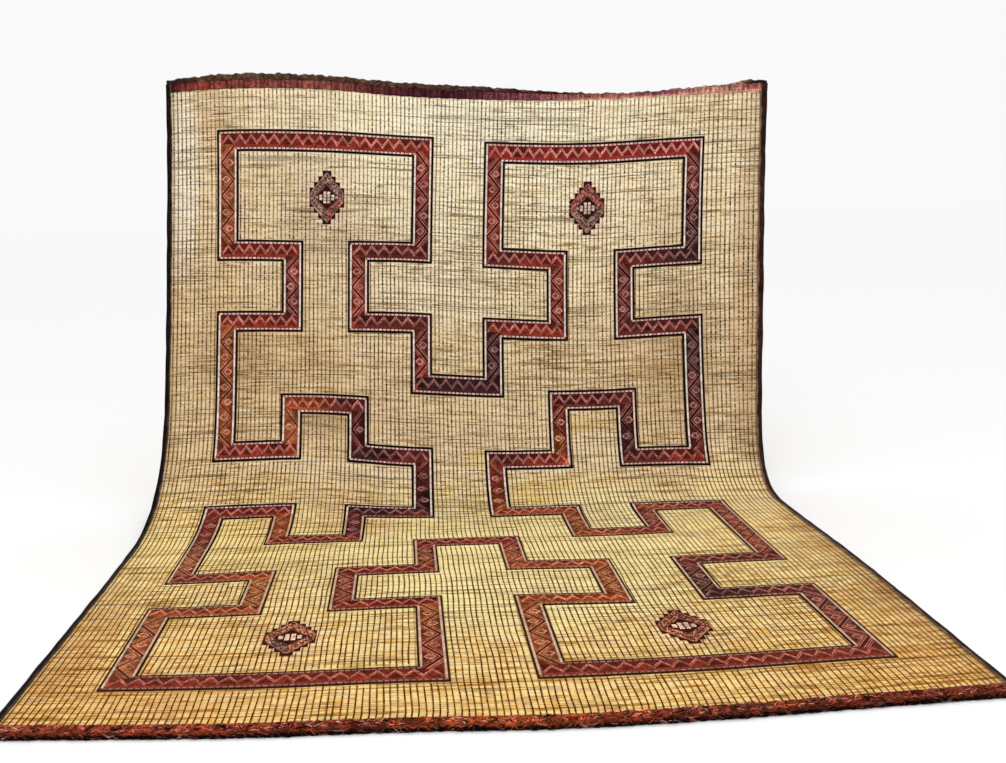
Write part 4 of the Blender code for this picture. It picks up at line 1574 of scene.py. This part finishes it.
def fringe_dye(across):
    """A dye for a frayed end at a place across: the band's own, dark, bright or pale."""
    dye = table_colour(FRONT_DYES, across)
    kind = random.uniform()
    if kind < 0.50:
        return dye * random.uniform(0.2, 1.6)
    if kind < 0.74:
        return dye * 0.18
    if kind < 0.90:
        return linear(*FRINGE_BRIGHTS[random.integers(3)]) * random.uniform(0.7, 1.0)
    return linear(206, 150, 132) * random.uniform(0.6, 1.0)


def make_front_fringe(look):
    """Frayed ends of red leather over the front band."""
    wisps = Pile(7, 3)
    places = np.linspace(EDGE_LEFT, EDGE_RIGHT, 900)
    patches = np.clip(1 + wander(1, places, ((0.13, 0.30), (0.06, 0.42), (0.027, 0.50)))[0], 0.12, 2.3)
    t = np.linspace(-0.5, 0.5, 7)
    for _ in range(FRINGE_WISPS):
        across = random.uniform(EDGE_LEFT + 0.02, EDGE_RIGHT - 0.02)
        along = FRONT_BAND_START + 0.003 + (MAT_END - FRONT_BAND_START) * random.beta(1.5, 1.2)
        heading = random.normal(0, 0.5) if random.uniform() < 0.8 else random.uniform(0, math.pi)
        length = random.uniform(0.012, 0.042)
        angle = heading + random.normal(0, 1.2) * t
        way = np.stack([np.cos(angle), np.sin(angle)], axis=-1)
        normal = np.stack([-np.sin(angle), np.cos(angle)], axis=-1)
        step = way * length / 6
        line = np.array([across, along]) + np.cumsum(step, axis=0) - step.sum(axis=0) / 2
        width = random.uniform(0.0014, 0.0038)
        rows = line[:, None, :] + np.array([-0.5, 0.0, 0.5])[:, None] * normal[:, None, :] * width
        x = np.clip(rows[..., 0], EDGE_LEFT, EDGE_RIGHT)
        y = np.clip(rows[..., 1], FRONT_BAND_START - 0.004, MAT_END + 0.004)
        arch = random.uniform(0.0, 0.0042) * np.cos(math.pi * t) ** 2
        height = 0.0047 + arch[:, None] + np.array([0.0, 0.0006, 0.0])
        height = height + rise(y, MAT_END - 0.004, MAT_END + 0.004) * 0.006
        wisps.add(surface(x, y, height), fringe_dye(across) * np.interp(across, places, patches))
    wisps.piece("end_band_front_frayed", "end_band_front", look)


def main():
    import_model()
    make_camera()
    make_studio()

    reeds = reed_finish()
    worn = leather_finish("worn_leather", 0.62, spread_by=0.36, grain=190.0, mottle=0.50, specular=0.03)
    edging = leather_finish("black_edging", 0.60, spread_by=0.25, grain=700.0, specular=0.0)
    white = leather_finish("white_edging", 0.65, spread_by=0.12, grain=500.0, relief=0.0003)
    thong = leather_finish("thong", 0.65, spread_by=0.25, grain=600.0, relief=0.0003, specular=0.0)
    folded = leather_finish("folded_leather", 0.58, spread_by=0.35, grain=300.0, relief=0.0006, specular=0.02)

    make_reeds((reeds, "reeds"))
    make_stitches((thong, "dark_leather"))
    make_back_thongs((thong, "dark_leather"))
    make_meander((worn, "red_leather"), (edging, "dark_leather"), (white, "red_leather"))
    for name, across, along, arms in MEDALLIONS:
        make_medallion(name, across, along, arms, (edging, "tan_leather"), (worn, "tan_leather"))
    _, left_paler_share, right_paler_share, left_kept, right_kept = zip(*BINDING_WEAR_AND_HIGHLIGHT)
    make_binding(*BINDING_LEFT, left_paler_share, left_kept, (folded, "dark_leather"))
    make_binding(*BINDING_RIGHT, right_paler_share, right_kept, (folded, "dark_leather"))
    make_end_bands((worn, "red_leather"))
    make_front_fringe((worn, "red_leather"))
    roll_look = (folded, "dark_leather")
    make_roll("edge_roll_top", TOP_ROLL, TOP_ROLL_DYES, MAT_TOP, -1.0, False, roll_look)
    make_roll("edge_roll_front", FRONT_ROLL, FRONT_ROLL_DYES_AND_SHADE, MAT_END, 1.0, True, roll_look)


main()
